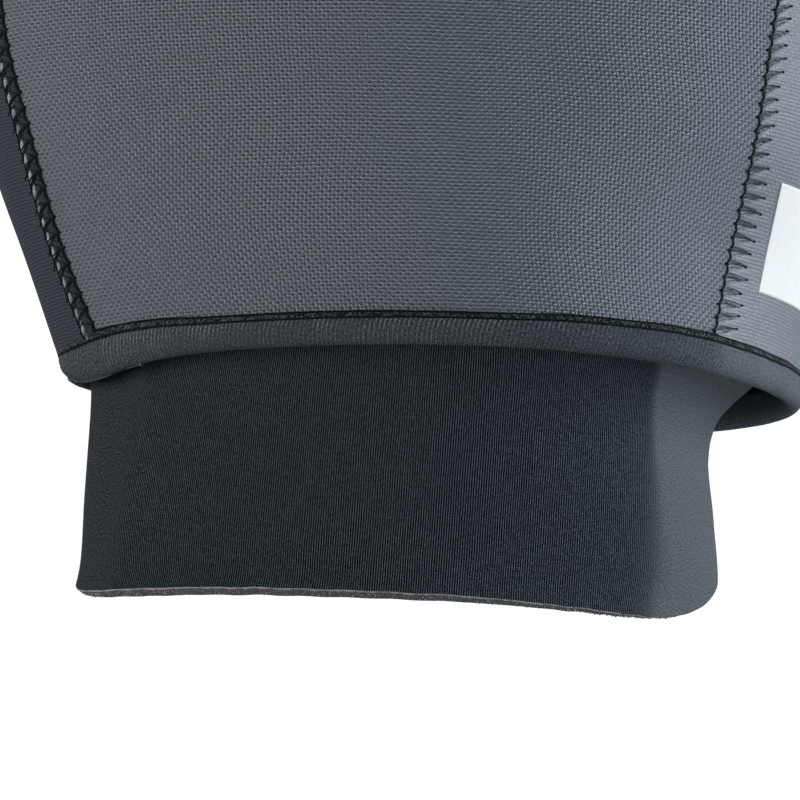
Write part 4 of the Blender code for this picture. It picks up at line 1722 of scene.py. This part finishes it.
@dataclass
class Studio:
    """The white room, its floor, its lamps and the camera."""

    hem_height: float = -0.190
    rise: float = math.radians(10.5)
    roll: float = math.radians(2.5)
    distance: float = 6.0
    frame_width: float = 0.200
    aim_right: float = -0.00875
    aim_up: float = -0.0035
    aim_depth: float = -0.03
    sensor: float = 36.0
    floor_height: float = -1.9
    floor_reach: float = 6.0
    floor_paint: Colour = (0.9, 0.9, 0.9)
    floor_glow: float = 0.68
    room_light: float = 0.10
    backdrop: float = 1.05
    lamps: tuple[Softbox, ...] = (
        Softbox("right_box", (0.95, -0.20, 0.08), 0.8, 15.0, (0.89, 0.95, 1.0)),
        Softbox("right_back_box", (1.3, 0.8, 0.3), 0.9, 5.0, (0.95, 0.98, 1.0)),
        Softbox("left_box", (-1.0, -0.34, -0.10), 0.8, 12.4, (1.0, 0.99, 0.95)),
        Softbox("high_box", (0.0, -0.55, 1.5), 0.6, 2.6, (0.84, 0.93, 1.0)),
        Softbox("front_box", (0.1, -1.4, -0.9), 0.8, 1.3, (0.92, 0.97, 1.0)),
        Softbox("low_box", (0.95, -0.7, -1.0), 1.0, 9.5, (0.90, 0.96, 1.0)),
        Softbox("back_box", (-0.4, 1.5, 0.6), 1.4, 16.0),
    )

    def camera(self) -> Object:
        """Makes the camera that looks up at the hem, with a long lens."""
        right = Vector((1, 0, 0))
        up = Vector((0, -math.sin(self.rise), math.cos(self.rise)))
        ahead = Vector((0, math.cos(self.rise), math.sin(self.rise)))
        turned_right = right * math.cos(self.roll) + up * math.sin(self.roll)
        turned_up = up * math.cos(self.roll) - right * math.sin(self.roll)
        aim = Vector((0, 0, self.hem_height)) + turned_right * self.aim_right + turned_up * self.aim_up
        data = bpy.data.cameras.new("camera")
        data.sensor_width = self.sensor
        data.lens = self.sensor * (self.distance + self.aim_depth) / self.frame_width
        data.clip_end = 100
        made = link("camera", data)
        turn = Matrix((turned_right, turned_up, -ahead)).transposed().to_4x4()
        made.matrix_world = Matrix.Translation(aim - ahead * self.distance) @ turn
        bpy.context.scene.camera = made
        return made

    def room(self) -> None:
        """Makes the floor and the room's even light, which is plain white where the camera sees it."""
        mesh = bmesh.new()
        low = Matrix.Translation((0, 0, self.floor_height))
        bmesh.ops.create_grid(mesh, x_segments=1, y_segments=1, size=self.floor_reach, matrix=low)
        draft = NodeDraft("pale_floor")
        glow = draft.node("LightPath", {}, output="Is Camera Ray") * self.floor_glow
        paint = draft.dress(
            Base_Color=self.floor_paint,
            Roughness=0.9,
            Emission_Color=(1.0, 1.0, 1.0),
            Emission_Strength=glow,
        )
        to_object("floor", mesh, paint)
        world = bpy.data.worlds.new("room")
        world.use_nodes = True
        nodes, links = world.node_tree.nodes, world.node_tree.links
        nodes["Background"].inputs["Color"].default_value = (1, 1, 1, 1)
        seen = nodes.new("ShaderNodeLightPath").outputs["Is Camera Ray"]
        level = nodes.new("ShaderNodeMapRange")
        links.new(seen, level.inputs["Value"])
        level.inputs["To Min"].default_value = self.room_light
        level.inputs["To Max"].default_value = self.backdrop
        links.new(level.outputs[0], nodes["Background"].inputs["Strength"])
        bpy.context.scene.world = world

    def build(self) -> None:
        """Sets up the room, the lamps and the camera."""
        self.room()
        for lamp in self.lamps:
            lamp.build(Vector((0, 0, self.hem_height)))
        self.camera()
        bpy.context.scene.view_settings.view_transform = "Standard"


class Muff:
    """The whole muff, built panel by panel on one shell."""

    def panels(self) -> list[Object]:
        """Builds the shell's four panels, and opens the left one for the handlebar.

        Returns:
            The panels.
        """
        panels = (
            Panel("front_panel", Seam.LEFT_FRONT, Seam.RIGHT_FRONT),
            Panel(
                "right_side_panel", Seam.RIGHT_FRONT, Seam.RIGHT_BACK, columns=26, rows=760, top_level=1.985,
                gathered=True, finish="lit_skin",
            ),
            Panel("back_panel", Seam.RIGHT_BACK, Seam.LEFT_BACK, turn=TAU),
            Panel(
                "left_side_panel", Seam.LEFT_BACK, Seam.LEFT_FRONT, columns=90, top_level=1.985,
                finish="side", slot="jersey_neoprene",
            ),
        )
        made = [panel.build() for panel in panels]
        BarHole().cut(made[-1])
        return made

    def build(self) -> list[Object]:
        """Builds every piece.

        Returns:
            The pieces.
        """
        cuff = InnerCuff()
        made = self.panels()
        made += [BarHole().build(), HemBinding().build(), cuff.build(), cuff.crumbs(), Label().build()]
        for seam in (Seam.LEFT_FRONT, Seam.LEFT_BACK):
            made += CrossedSeam(seam).build()
        for seam in (Seam.RIGHT_FRONT, Seam.RIGHT_BACK):
            made += LeggedSeam(seam).build()
        return made + [RidgeSeam().build()]


def main() -> None:
    """Builds the muff and its studio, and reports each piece."""
    logging.basicConfig(level=logging.INFO, format="%(name)s: %(message)s")
    for piece in Muff().build():
        count = len(piece.data.polygons) if piece.type == "MESH" else len(piece.data.splines)
        LOG.info("%s: %d faces or strands", piece.name, count)
    Studio().build()


if __name__ == "__main__":
    main()
